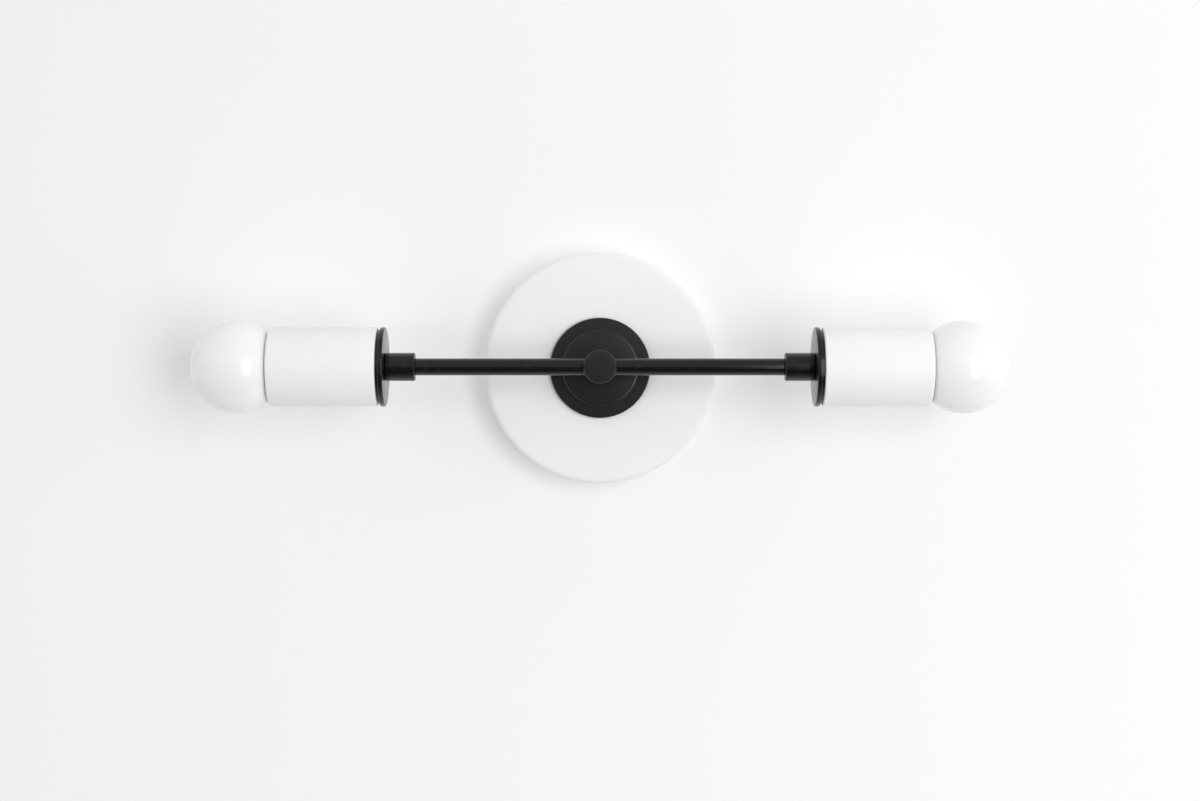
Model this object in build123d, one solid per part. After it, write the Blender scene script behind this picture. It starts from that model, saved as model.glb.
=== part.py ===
from build123d import *
import os
from math import sqrt

# Two-lamp bar wall light, in millimetres.
# X runs along the arms, the front faces -Y, the wall is the plane Y = 0 and +Z is up.
# The origin is the middle of the canopy's open back, on the wall.

# Clearances
THREAD_GAP = 0.05  # round a piece in a tapped hole or a close seat
HOLE_GAP = 0.2  # round a pipe that passes through a plain hole
TURN_GAP = 0.1  # between the tip and the rest of the bulb, which turn apart
LEAD_GAP = 0.8  # between two leads side by side
END_GAP = 0.3  # in front of an end that stops inside a bore

# Canopy on the wall
CANOPY_D = 134.0
CANOPY_DEPTH = 22.0
CANOPY_WALL = 1.2
CANOPY_EDGE_R = 3.0
CANOPY_INNER_R = 1.8

# Black stack in front of the canopy
BACKING_PLATE_D = 58.0
BACKING_PLATE_T = 3.0
BACKING_PLATE_EDGE = 0.5
CENTRE_DISC_D = 44.5
CENTRE_DISC_T = 4.0
CENTRE_DISC_EDGE_R = 1.0
NECK_D = 15.875
NECK_EDGE = 0.5
HUB_D = 19.05
HUB_L = 19.0
HUB_FRONT_EDGE = 0.8
HUB_BACK_EDGE = 0.4
ARM_STANDOFF = 57.0  # from the wall to the axis of the arms
TUBE_ENDS_GAP = 9.2  # room inside the hub where the leads turn

# Threaded pipe, its washers and its nuts
NIPPLE_D = 9.8
NIPPLE_WALL = 1.6
NIPPLE_TAIL = 3.4  # pipe that shows behind the centre nut
NIPPLE_PROUD = 0.9  # pipe that shows inside the socket cap
WASHER_D = 17.0
WASHER_T = 1.0
NUT_FLATS = 14.3
NUT_T = 4.2

# Arms
TUBE_D = 9.525
TUBE_WALL = 1.3
ARM_L = 104.0  # from the hub's axis to the near end of the coupler
COUPLER_D = 15.875
COUPLER_L = 16.6
COUPLER_EDGE = 0.5
TUBE_SEAT = 8.0  # tube inside the coupler
FLANGE_T = 2.7
FLANGE_PROUD = 0.1  # flange edge past the cup's side
FLANGE_EDGE_R = 0.6
STEP_T = 1.5
STEP_INSET = 1.3
STEP_EDGE = 0.3

# Lamp socket inside the cup
SHELL_GAP = 0.35  # round the bulb's screw cap
SHELL_T = 0.45
SHELL_L = 22.8
SHELL_EYE_D = 10.0
SOCKET_WALL = 3.4
SOCKET_FLOOR_T = 4.0
SOCKET_LIP = 0.6  # porcelain past the end of the screw shell
SOCKET_LIP_EDGE = 0.8
SPIGOT_INSET = 1.65
SPIGOT_L = 4.4
SPIGOT_WALL = 3.6
SOCKET_CAP_T = 0.8
SOCKET_CAP_ROOM = 5.5  # clear depth for the leads behind the porcelain
BUSHING_WALL = 1.9
BUSHING_L = 4.5
RIVET_D = 1.8
RIVET_HEAD_D = 3.2
RIVET_HEAD_T = 0.5
HOT_RIVET_OFF = 2.6
NEUTRAL_RIVET_OFF = 6.4
CONTACT_T = 0.5
CONTACT_W = 3.6
CONTACT_REACH = 3.4
CONTACT_RISE = 3.6

# Cup round the socket
CUP_GAP = 2.375
CUP_WALL = 2.6
CUP_BASE_T = 1.5
CUP_BASE_R = 1.2
CUP_LIP_R = 1.5
CUP_LIP_INNER_R = 0.6
RIM_GAP = 1.15  # between the globe and the cup's wall at the mouth

# Bulb
LAMP_CAP_D = 26.0
LAMP_CAP_T = 0.4
LAMP_FOOT_L = 27.0  # from the tip to the place where the globe is as wide as its cap
LAMP_CAP_DROP = 1.6  # from that place back to the end of the cap
GLOBE_D = 52.4
GLASS_T = 0.9
NECK_SEAT = 9.5
NECK_FILLET = 2.0
TIP_D = 9.6
TIP_T = 1.9
TIP_EDGE_R = 1.2
TIP_PIN_D = 3.0
TIP_PIN_L = 2.2
INSULATOR_CONE_L = 3.6
INSULATOR_TOP_D = 20.8
INSULATOR_PLUG_D = 19.8
INSULATOR_PLUG_L = 2.5
CAP_TAPER_L = 2.0
MOUNT_FLARE_T = 1.2
MOUNT_FLARE_L = 9.0
MOUNT_ROD_D = 6.4
MOUNT_ROD_L = 9.0
FILAMENT_COUNT = 4
FILAMENT_D = 1.8
FILAMENT_L = 24.0
FILAMENT_RING_R = 8.0
SUPPORT_D = 0.9

# Strap on the wall
STRAP_W = 19.0
STRAP_T = 1.8
STRAP_BEND_R = 1.5
STRAP_EAR_GAP = 0.4
EAR_PAST_SCREW = 5.0
EAR_CORNER_R = 4.0
BOX_SPACING = 79.4
BOX_SLOT_L = 14.4
BOX_SLOT_W = 4.8
SIDE_SCREW_RISE = 11.0
SIDE_SCREW_D = 4.0
SIDE_SCREW_PAST_EAR = 2.0
SIDE_SCREW_HEAD_D = 7.0
SIDE_SCREW_HEAD_T = 2.2
SIDE_SCREW_DOME = 1.2
GROUND_SCREW_X = -22.0
GROUND_SCREW_D = 4.6
GROUND_HEAD_D = 8.6
GROUND_HEAD_T = 2.6
GROUND_HEAD_EDGE = 0.6

# Leads and wire nuts
LEAD_D = 2.0
LEAD_HUB_R = 4.4
LEAD_TAIL_R = 4.0
LEAD_FAN_R = 2.4
LEAD_END_RUN = 1.3
WIRE_NUT_MOUTH = 14.0
WIRE_NUT_L = 20.0
WIRE_NUT_D = 10.6
WIRE_NUT_TOP_D = 6.8
WIRE_NUT_BORE_L = 11.0
WIRE_NUT_EDGE_R = 1.0
LUG_T = 0.8
LUG_D = 15.0
LUG_BARREL_D = 3.6
LUG_BARREL_L = 6.0
GROUND_LUG_D = 8.0
GROUND_LOOP_R = 3.2
GROUND_RUN = 8.0

# Radii of the socket and cup, from the bulb's cap outwards
SHELL_BORE_D = LAMP_CAP_D + 2 * SHELL_GAP
SHELL_D = SHELL_BORE_D + 2 * SHELL_T
SOCKET_BORE_D = SHELL_D + 2 * THREAD_GAP
SOCKET_D = SOCKET_BORE_D + 2 * SOCKET_WALL
SPIGOT_D = SOCKET_D - 2 * SPIGOT_INSET
SOCKET_CAP_BORE_D = SPIGOT_D + 2 * THREAD_GAP
SOCKET_CAP_D = SOCKET_CAP_BORE_D + 2 * SOCKET_CAP_T
CUP_BORE_D = SOCKET_D + 2 * CUP_GAP
CUP_D = CUP_BORE_D + 2 * CUP_WALL
FLANGE_D = CUP_D + 2 * FLANGE_PROUD
STEP_D = FLANGE_D - 2 * STEP_INSET

# Bores along the pipe
NIPPLE_BORE_D = NIPPLE_D - 2 * NIPPLE_WALL
TAPPED_D = NIPPLE_D + 2 * THREAD_GAP
PLAIN_HOLE_D = NIPPLE_D + 2 * HOLE_GAP
TUBE_HOLE_D = TUBE_D + 2 * THREAD_GAP
BUSHING_D = TAPPED_D + 2 * BUSHING_WALL

# Places from the wall outwards
CANOPY_INSIDE = CANOPY_DEPTH - CANOPY_WALL
CENTRE_WASHER_BACK = CANOPY_INSIDE - WASHER_T
LUG_BACK = CENTRE_WASHER_BACK - LUG_T
CENTRE_NUT_BACK = LUG_BACK - NUT_T
CENTRE_NIPPLE_BACK = CENTRE_NUT_BACK - NIPPLE_TAIL
BACKING_PLATE_FRONT = CANOPY_DEPTH + BACKING_PLATE_T
CENTRE_DISC_FRONT = BACKING_PLATE_FRONT + CENTRE_DISC_T
HUB_BACK = ARM_STANDOFF - HUB_L / 2
CENTRE_NIPPLE_FRONT = ARM_STANDOFF - TUBE_HOLE_D / 2 - HOLE_GAP
LEAD_TAIL_DEPTH = CENTRE_NIPPLE_BACK - LEAD_TAIL_R

# Places along an arm, from the hub's axis outwards
TUBE_START = TUBE_ENDS_GAP / 2
TUBE_END = ARM_L + TUBE_SEAT
COUPLER_END = ARM_L + COUPLER_L
FLANGE_END = COUPLER_END + FLANGE_T
CUP_START = FLANGE_END + STEP_T
CUP_FLOOR = CUP_START + CUP_BASE_T
CUP_NUT_START = CUP_FLOOR + WASHER_T
SOCKET_CAP_START = CUP_NUT_START + NUT_T
SOCKET_CAP_BACK = SOCKET_CAP_START + BUSHING_L
SOCKET_CAP_FLOOR = SOCKET_CAP_BACK + SOCKET_CAP_T
SOCKET_NIPPLE_START = TUBE_END + END_GAP
SOCKET_NIPPLE_END = SOCKET_CAP_FLOOR + NIPPLE_PROUD
SPIGOT_START = SOCKET_CAP_FLOOR + SOCKET_CAP_ROOM
RIVET_FLOOR = SPIGOT_START + SPIGOT_L
SHELL_START = RIVET_FLOOR + SOCKET_FLOOR_T
SHELL_END = SHELL_START + SHELL_L
SOCKET_MOUTH = SHELL_END + SOCKET_LIP
LEAD_END = RIVET_FLOOR - RIVET_HEAD_T
TIP_START = SHELL_START + CONTACT_RISE + TURN_GAP
GLOBE_FOOT = TIP_START + LAMP_FOOT_L
LAMP_CAP_END = GLOBE_FOOT - LAMP_CAP_DROP
GLOBE_CENTRE = GLOBE_FOOT + sqrt((GLOBE_D / 2) ** 2 - (LAMP_CAP_D / 2) ** 2)
CUP_MOUTH = GLOBE_CENTRE - sqrt((GLOBE_D / 2) ** 2 - (CUP_BORE_D / 2 - RIM_GAP) ** 2)
NECK_D_GLASS = LAMP_CAP_D - 2 * LAMP_CAP_T - 2 * THREAD_GAP
NECK_START = LAMP_CAP_END - NECK_SEAT

# Leads lie in a square inside the pipe
LEAD_OFF = (LEAD_D + LEAD_GAP) / 2
WIRE_NUT_BORE_D = 2 * LEAD_OFF + LEAD_D + 2 * END_GAP
WIRE_NUT_BORE_END = WIRE_NUT_MOUTH + WIRE_NUT_BORE_L

SIDES = {"left": -1, "right": 1}
TINY = 1e-4
ON_BASE = (Align.CENTER, Align.CENTER, Align.MIN)

# Local frame of the wall: x to the right, y up and z out of the wall
WALL = Plane(origin=(0, 0, 0), x_dir=(1, 0, 0), z_dir=(0, -1, 0))


def arm_frame(side):
    """Local frame of one arm: z outward along the tube and x up."""
    return Plane(origin=(0, -ARM_STANDOFF, 0), x_dir=(0, 0, 1), z_dir=(side, 0, 0))


def rod(diameter, start, end):
    """Plain round bar along z."""
    return Pos(0, 0, start) * Cylinder(diameter / 2, end - start, align=ON_BASE)


def ring(bore, diameter, start, end):
    """Round bar along z with a hole through it."""
    return rod(diameter, start, end) - rod(bore, start, end)


def turned(*points):
    """Solid turned about z from an outline of (radius, height) points."""
    outline = [(radius, 0, height) for radius, height in points]
    return revolve(make_face(Polyline(*outline, close=True)), axis=Axis.Z)


def rim(solid, diameter, height):
    """Round edges of this diameter at this height."""

    def fits(edge):
        same_size = abs(edge.radius - diameter / 2) < TINY
        return same_size and abs(edge.arc_center.Z - height) < TINY

    return solid.edges().filter_by(GeomType.CIRCLE).filter_by(fits)


def round_bar(path, diameter):
    """Round section carried along a path."""
    start = Plane(origin=path @ 0, z_dir=path % 0)
    return sweep(start * Circle(diameter / 2), path=path)


def hex_nut(start):
    """Plain six-sided nut on the threaded pipe."""
    outline = RegularPolygon(NUT_FLATS / 2, 6, major_radius=False)
    return Pos(0, 0, start) * extrude(outline, NUT_T) - rod(TAPPED_D, start, start + NUT_T)


def lock_washer(start):
    """Plain washer under a nut."""
    return ring(PLAIN_HOLE_D, WASHER_D, start, start + WASHER_T)


def canopy():
    """Spun dish, open to the wall, with a pipe hole in front and two screw holes at the sides."""
    outside = rod(CANOPY_D, 0, CANOPY_DEPTH)
    outside = fillet(rim(outside, CANOPY_D, CANOPY_DEPTH), CANOPY_EDGE_R)
    hollow_d = CANOPY_D - 2 * CANOPY_WALL
    hollow = rod(hollow_d, 0, CANOPY_INSIDE)
    hollow = fillet(rim(hollow, hollow_d, CANOPY_INSIDE), CANOPY_INNER_R)
    across = Pos(0, 0, SIDE_SCREW_RISE) * Rot(0, 90, 0)
    screw_holes = across * Cylinder(SIDE_SCREW_D / 2 + HOLE_GAP, CANOPY_D)
    pipe_hole = rod(PLAIN_HOLE_D, 0, CANOPY_DEPTH)
    return outside - hollow - screw_holes - pipe_hole


def strap_ear_face():
    """Half the length of the strap, so that its ears fit inside the round canopy."""
    hollow_r = CANOPY_D / 2 - CANOPY_WALL
    return sqrt(hollow_r**2 - (STRAP_W / 2) ** 2) - STRAP_EAR_GAP


def wall_bracket():
    """Strap with an ear bent forward at each end, two box slots and tapped holes."""
    reach = strap_ear_face()
    ear_h = SIDE_SCREW_RISE + EAR_PAST_SCREW
    block = Box(2 * reach, STRAP_W, ear_h, align=ON_BASE)
    block = fillet(block.edges().filter_by(Axis.Y).group_by(Axis.Z)[0], STRAP_BEND_R + STRAP_T)
    inside = Box(2 * (reach - STRAP_T), STRAP_W, ear_h, align=ON_BASE)
    inside = fillet(inside.edges().filter_by(Axis.Y).group_by(Axis.Z)[0], STRAP_BEND_R)
    strap = block - Pos(0, 0, STRAP_T) * inside
    ear_corners = strap.edges().filter_by(Axis.X).group_by(Axis.Z)[-1]
    strap = fillet(ear_corners, EAR_CORNER_R)
    slot = extrude(SlotOverall(BOX_SLOT_L, BOX_SLOT_W), STRAP_T)
    for side in SIDES.values():
        strap -= Pos(side * BOX_SPACING / 2, 0, 0) * slot
    strap -= rod(TAPPED_D, 0, STRAP_T)
    strap -= Pos(GROUND_SCREW_X, 0, 0) * rod(GROUND_SCREW_D + 2 * THREAD_GAP, 0, STRAP_T)
    across = Pos(0, 0, SIDE_SCREW_RISE) * Rot(0, 90, 0)
    return strap - across * Cylinder(SIDE_SCREW_D / 2 + THREAD_GAP, 2 * reach)


def canopy_side_screws():
    """Two dome-headed screws from the canopy's sides into the strap's ears."""
    seat = CANOPY_D / 2 + THREAD_GAP
    shank_l = seat - strap_ear_face() + STRAP_T + SIDE_SCREW_PAST_EAR
    head = rod(SIDE_SCREW_HEAD_D, 0, SIDE_SCREW_HEAD_T)
    head = fillet(rim(head, SIDE_SCREW_HEAD_D, SIDE_SCREW_HEAD_T), SIDE_SCREW_DOME)
    screw = head + rod(SIDE_SCREW_D, -shank_l, 0)
    screws = []
    for side in SIDES.values():
        place = Plane(origin=(side * seat, 0, SIDE_SCREW_RISE), z_dir=(side, 0, 0))
        screws.append(place * screw)
    return Compound(screws)


def ground_screw():
    """Washer-headed screw in the strap that holds the ground lead's eye."""
    seat = STRAP_T + LUG_T
    head = rod(GROUND_HEAD_D, seat, seat + GROUND_HEAD_T)
    head = chamfer(rim(head, GROUND_HEAD_D, seat + GROUND_HEAD_T), GROUND_HEAD_EDGE)
    return Pos(GROUND_SCREW_X, 0, 0) * (head + rod(GROUND_SCREW_D, 0, seat))


def lug(bore, eye_d, barrel_start):
    """Flat eye with a crimp barrel that runs out along x and stands on the eye's face."""
    barrel_r = LUG_BARREL_D / 2
    tongue_l = barrel_start + barrel_r
    tongue = Pos(tongue_l / 2, 0, 0) * Box(tongue_l, LUG_BARREL_D, LUG_T, align=ON_BASE)
    flat = tongue + rod(eye_d, 0, LUG_T) - rod(bore, 0, LUG_T)
    barrel = rod(LUG_BARREL_D, barrel_start, barrel_start + LUG_BARREL_L)
    return flat + Pos(0, 0, barrel_r) * Rot(0, 90, 0) * barrel


def ground_lead():
    """Green lead from the eye under the centre nut to the eye under the ground screw."""
    barrel_r = LUG_BARREL_D / 2
    near_start = NUT_FLATS / sqrt(3) + END_GAP
    far_start = GROUND_HEAD_D / 2 + END_GAP
    near = Plane(origin=(0, 0, CENTRE_WASHER_BACK), x_dir=(-1, 1, 0), z_dir=(0, 0, -1))
    far = Plane(origin=(GROUND_SCREW_X, 0, STRAP_T), x_dir=(0, 1, 0), z_dir=(0, 0, 1))
    near_lug = near * lug(PLAIN_HOLE_D, LUG_D, near_start)
    far_lug = far * lug(GROUND_SCREW_D + 2 * THREAD_GAP, GROUND_LUG_D, far_start)
    high = CENTRE_WASHER_BACK - barrel_r
    low = STRAP_T + barrel_r
    out = (near_start + LUG_BARREL_L) / sqrt(2)
    top = far_start + LUG_BARREL_L
    path = FilletPolyline(
        (-out, out, high),
        (-out - GROUND_RUN, out + GROUND_RUN, high),
        (GROUND_SCREW_X, out + 2 * GROUND_RUN, (high + low) / 2),
        (GROUND_SCREW_X, top + GROUND_RUN, low),
        (GROUND_SCREW_X, top, low),
        radius=GROUND_LOOP_R,
    )
    return near_lug + round_bar(path, LEAD_D) + far_lug


def backing_plate():
    """Flat round plate on the canopy."""
    plate = ring(PLAIN_HOLE_D, BACKING_PLATE_D, CANOPY_DEPTH, BACKING_PLATE_FRONT)
    return chamfer(rim(plate, BACKING_PLATE_D, BACKING_PLATE_FRONT), BACKING_PLATE_EDGE)


def centre_disc():
    """Thicker disc with a rounded front edge on the backing plate."""
    disc = ring(PLAIN_HOLE_D, CENTRE_DISC_D, BACKING_PLATE_FRONT, CENTRE_DISC_FRONT)
    return fillet(rim(disc, CENTRE_DISC_D, CENTRE_DISC_FRONT), CENTRE_DISC_EDGE_R)


def neck():
    """Sleeve over the pipe that holds the hub off the disc."""
    sleeve = ring(PLAIN_HOLE_D, NECK_D, CENTRE_DISC_FRONT, HUB_BACK)
    ends = rim(sleeve, NECK_D, CENTRE_DISC_FRONT) + rim(sleeve, NECK_D, HUB_BACK)
    return chamfer(ends, NECK_EDGE)


def hub():
    """Round post, bored from the back for the pipe and cross-drilled for the two tubes."""
    front = HUB_BACK + HUB_L
    post = rod(HUB_D, HUB_BACK, front)
    post = chamfer(rim(post, HUB_D, front), HUB_FRONT_EDGE)
    post = chamfer(rim(post, HUB_D, HUB_BACK), HUB_BACK_EDGE)
    pipe_bore = rod(TAPPED_D, HUB_BACK, ARM_STANDOFF)
    tube_bore = Pos(0, 0, ARM_STANDOFF) * Rot(0, 90, 0) * Cylinder(TUBE_HOLE_D / 2, HUB_D)
    return post - pipe_bore - tube_bore


def centre_nipple():
    """Threaded pipe from inside the canopy to the hub."""
    return ring(NIPPLE_BORE_D, NIPPLE_D, CENTRE_NIPPLE_BACK, CENTRE_NIPPLE_FRONT)


def wire_nut(up):
    """Tapered twist-on cap over the ends of two leads, pointing up or down."""
    end = WIRE_NUT_MOUTH + WIRE_NUT_L
    cap = turned(
        (0, WIRE_NUT_MOUTH),
        (WIRE_NUT_D / 2, WIRE_NUT_MOUTH),
        (WIRE_NUT_TOP_D / 2, end),
        (0, end),
    )
    cap = fillet(rim(cap, WIRE_NUT_TOP_D, end), WIRE_NUT_EDGE_R)
    cap -= rod(WIRE_NUT_BORE_D, WIRE_NUT_MOUTH, WIRE_NUT_BORE_END)
    return Plane(origin=(0, -LEAD_TAIL_DEPTH, 0), x_dir=(1, 0, 0), z_dir=(0, 0, up)) * cap


def arm_tube():
    """Thin tube from the hub into the coupler."""
    return ring(TUBE_D - 2 * TUBE_WALL, TUBE_D, TUBE_START, TUBE_END)


def coupler():
    """Sleeve that joins the tube to the socket's pipe."""
    sleeve = rod(COUPLER_D, ARM_L, COUPLER_END)
    ends = rim(sleeve, COUPLER_D, ARM_L) + rim(sleeve, COUPLER_D, COUPLER_END)
    sleeve = chamfer(ends, COUPLER_EDGE)
    sleeve -= rod(TUBE_HOLE_D, ARM_L, TUBE_END)
    return sleeve - rod(TAPPED_D, TUBE_END, COUPLER_END)


def socket_nipple():
    """Threaded pipe from the coupler to the socket cap."""
    return ring(NIPPLE_BORE_D, NIPPLE_D, SOCKET_NIPPLE_START, SOCKET_NIPPLE_END)


def socket_plate():
    """Stepped disc: a wide flange towards the hub and a smaller step towards the cup."""
    flange = rod(FLANGE_D, COUPLER_END, FLANGE_END)
    edges = rim(flange, FLANGE_D, COUPLER_END) + rim(flange, FLANGE_D, FLANGE_END)
    flange = fillet(edges, FLANGE_EDGE_R)
    step = rod(STEP_D, FLANGE_END, CUP_START)
    step = chamfer(rim(step, STEP_D, CUP_START), STEP_EDGE)
    return flange + step - rod(PLAIN_HOLE_D, COUPLER_END, CUP_START)


def cup():
    """Round cup, open outwards, with a pipe hole in its base."""
    outside = rod(CUP_D, CUP_START, CUP_MOUTH)
    outside = fillet(rim(outside, CUP_D, CUP_START), CUP_BASE_R)
    shell = outside - rod(CUP_BORE_D, CUP_FLOOR, CUP_MOUTH)
    shell = fillet(rim(shell, CUP_D, CUP_MOUTH), CUP_LIP_R)
    shell = fillet(rim(shell, CUP_BORE_D, CUP_MOUTH), CUP_LIP_INNER_R)
    return shell - rod(PLAIN_HOLE_D, CUP_START, CUP_FLOOR)


def socket_cap():
    """Sheet cap with a tapped bushing, which carries the porcelain on the pipe."""
    wall_end = RIVET_FLOOR - THREAD_GAP
    cap = rod(SOCKET_CAP_D, SOCKET_CAP_BACK, wall_end)
    cap = fillet(rim(cap, SOCKET_CAP_D, SOCKET_CAP_BACK), SOCKET_CAP_T)
    cap -= rod(SOCKET_CAP_BORE_D, SOCKET_CAP_FLOOR, wall_end)
    cap += rod(BUSHING_D, SOCKET_CAP_START, SOCKET_CAP_BACK)
    return cap - rod(TAPPED_D, SOCKET_CAP_START, SOCKET_CAP_FLOOR)


def socket_body():
    """Porcelain cup with a narrower hollow spigot at its back and two rivet holes in its floor."""
    body = rod(SOCKET_D, RIVET_FLOOR, SOCKET_MOUTH)
    body = chamfer(rim(body, SOCKET_D, SOCKET_MOUTH), SOCKET_LIP_EDGE)
    body -= rod(SOCKET_BORE_D, SHELL_START, SOCKET_MOUTH)
    body += ring(SPIGOT_D - 2 * SPIGOT_WALL, SPIGOT_D, SPIGOT_START, RIVET_FLOOR)
    for offset in (HOT_RIVET_OFF, -NEUTRAL_RIVET_OFF):
        body -= Pos(offset, 0, 0) * rod(RIVET_D + 2 * THREAD_GAP, RIVET_FLOOR, SHELL_START)
    return body


def screw_shell():
    """Thin metal sleeve for the bulb's cap, with a flat rim on the porcelain's floor."""
    wall = ring(SHELL_BORE_D, SHELL_D, SHELL_START, SHELL_END)
    return wall + ring(SHELL_EYE_D, SHELL_D, SHELL_START, SHELL_START + SHELL_T)


def contact_spring():
    """Leaf folded back over itself under the bulb's tip."""
    low = SHELL_START + CONTACT_T / 2
    high = SHELL_START + CONTACT_RISE - CONTACT_T / 2
    bend_r = (high - low) / 2 - TINY
    leaf = FilletPolyline(
        (CONTACT_REACH, 0, low),
        (-CONTACT_REACH, 0, low),
        (-CONTACT_REACH, 0, high),
        (CONTACT_REACH, 0, high),
        radius=bend_r,
    )
    section = Plane(origin=leaf @ 0, x_dir=(0, 1, 0), z_dir=leaf % 0)
    return sweep(section * Rectangle(CONTACT_W, CONTACT_T), path=leaf)


def socket_rivets():
    """Two rivets through the porcelain's floor: one to the leaf and one to the screw shell."""
    head = rod(RIVET_HEAD_D, LEAD_END, RIVET_FLOOR)
    rivet = head + rod(RIVET_D, RIVET_FLOOR, SHELL_START)
    hot = Pos(HOT_RIVET_OFF, 0, 0) * rivet
    neutral = Pos(-NEUTRAL_RIVET_OFF, 0, 0) * rivet
    return Compound([hot, neutral])


def lead(side, up, rivet_off):
    """Lead from a rivet through the arm, round the hub's corner and back to its wire nut."""
    fan_start = SOCKET_NIPPLE_END + LEAD_FAN_R / 2
    path = FilletPolyline(
        (side * LEAD_END, -ARM_STANDOFF, up * rivet_off),
        (side * (LEAD_END - LEAD_END_RUN), -ARM_STANDOFF, up * rivet_off),
        (side * fan_start, -ARM_STANDOFF, up * LEAD_OFF),
        (side * LEAD_OFF, -ARM_STANDOFF, up * LEAD_OFF),
        (side * LEAD_OFF, -LEAD_TAIL_DEPTH, up * LEAD_OFF),
        (side * LEAD_OFF, -LEAD_TAIL_DEPTH, up * (WIRE_NUT_BORE_END - END_GAP)),
        radius=(LEAD_FAN_R, LEAD_FAN_R, LEAD_HUB_R, LEAD_TAIL_R),
    )
    return round_bar(path, LEAD_D)


def bulb_globe():
    """Hollow opal globe with a short neck that sits in the screw cap."""
    outside = Pos(0, 0, GLOBE_CENTRE) * Sphere(GLOBE_D / 2)
    outside += rod(NECK_D_GLASS, NECK_START, GLOBE_CENTRE)
    root = outside.edges().filter_by(GeomType.CIRCLE).sort_by(Axis.Z)
    root = root.filter_by(lambda edge: NECK_START + TINY < edge.arc_center.Z < GLOBE_CENTRE - TINY)
    outside = fillet(root, NECK_FILLET)
    hollow = Pos(0, 0, GLOBE_CENTRE) * Sphere(GLOBE_D / 2 - GLASS_T)
    hollow += rod(NECK_D_GLASS - 2 * GLASS_T, NECK_START, GLOBE_CENTRE)
    return outside - hollow


def bulb_cap():
    """Thin screw cap, drawn in at its foot round the insulator."""
    outer = LAMP_CAP_D / 2
    inner = outer - LAMP_CAP_T
    foot = INSULATOR_TOP_D / 2
    start = TIP_START + TIP_T + TURN_GAP + INSULATOR_CONE_L + THREAD_GAP
    return turned(
        (INSULATOR_PLUG_D / 2 + THREAD_GAP, start),
        (foot, start),
        (outer, start + CAP_TAPER_L),
        (outer, LAMP_CAP_END),
        (inner, LAMP_CAP_END),
        (inner, start + CAP_TAPER_L + LAMP_CAP_T),
    )


def bulb_insulator():
    """Black glass cone between the tip and the screw cap."""
    start = TIP_START + TIP_T + TURN_GAP
    shoulder = start + INSULATOR_CONE_L
    hole = TIP_PIN_D / 2 + TURN_GAP
    return turned(
        (hole, start),
        (TIP_D / 2, start),
        (INSULATOR_TOP_D / 2, shoulder),
        (INSULATOR_PLUG_D / 2, shoulder),
        (INSULATOR_PLUG_D / 2, shoulder + INSULATOR_PLUG_L),
        (hole, shoulder + INSULATOR_PLUG_L),
    )


def bulb_tip():
    """Round contact at the end of the bulb, with a pin in the insulator."""
    button = rod(TIP_D, TIP_START, TIP_START + TIP_T)
    button = fillet(rim(button, TIP_D, TIP_START), TIP_EDGE_R)
    return button + rod(TIP_PIN_D, TIP_START + TIP_T, TIP_START + TIP_T + TIP_PIN_L)


def bulb_mount():
    """Glass foot inside the neck: a flare that narrows to a rod."""
    flare = NECK_D_GLASS / 2 - GLASS_T - THREAD_GAP
    cone_start = NECK_START + MOUNT_FLARE_T
    cone_end = cone_start + MOUNT_FLARE_L
    return turned(
        (0, NECK_START),
        (flare, NECK_START),
        (flare, cone_start),
        (MOUNT_ROD_D / 2, cone_end),
        (MOUNT_ROD_D / 2, cone_end + MOUNT_ROD_L),
        (0, cone_end + MOUNT_ROD_L),
    )


def bulb_filaments():
    """Straight filaments round a middle wire that stands on the glass foot."""
    foot = NECK_START + MOUNT_FLARE_T + MOUNT_FLARE_L + MOUNT_ROD_L
    low = foot + FILAMENT_D
    cage = rod(SUPPORT_D, foot, low + FILAMENT_L)
    filament = Pos(FILAMENT_RING_R, 0, 0) * rod(FILAMENT_D, low, low + FILAMENT_L)
    for height in (low + FILAMENT_D / 2, low + FILAMENT_L - FILAMENT_D / 2):
        filament += Pos(0, 0, height) * Rot(0, 90, 0) * rod(SUPPORT_D, 0, FILAMENT_RING_R)
    for index in range(FILAMENT_COUNT):
        cage += Rot(0, 0, index * 360 / FILAMENT_COUNT) * filament
    return cage


def centre_pieces():
    """Pieces on the wall and in the middle, in the light's own frame."""
    on_wall = {
        "canopy": canopy(),
        "wall_bracket": wall_bracket(),
        "canopy_side_screws": canopy_side_screws(),
        "ground_screw": ground_screw(),
        "ground_lead": ground_lead(),
        "backing_plate": backing_plate(),
        "centre_disc": centre_disc(),
        "neck": neck(),
        "hub": hub(),
        "centre_nipple": centre_nipple(),
        "centre_lock_washer": lock_washer(CENTRE_WASHER_BACK),
        "centre_lock_nut": hex_nut(CENTRE_NUT_BACK),
    }
    pieces = {name: WALL * solid for name, solid in on_wall.items()}
    pieces["hot_wire_nut"] = wire_nut(1)
    pieces["neutral_wire_nut"] = wire_nut(-1)
    return pieces


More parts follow.
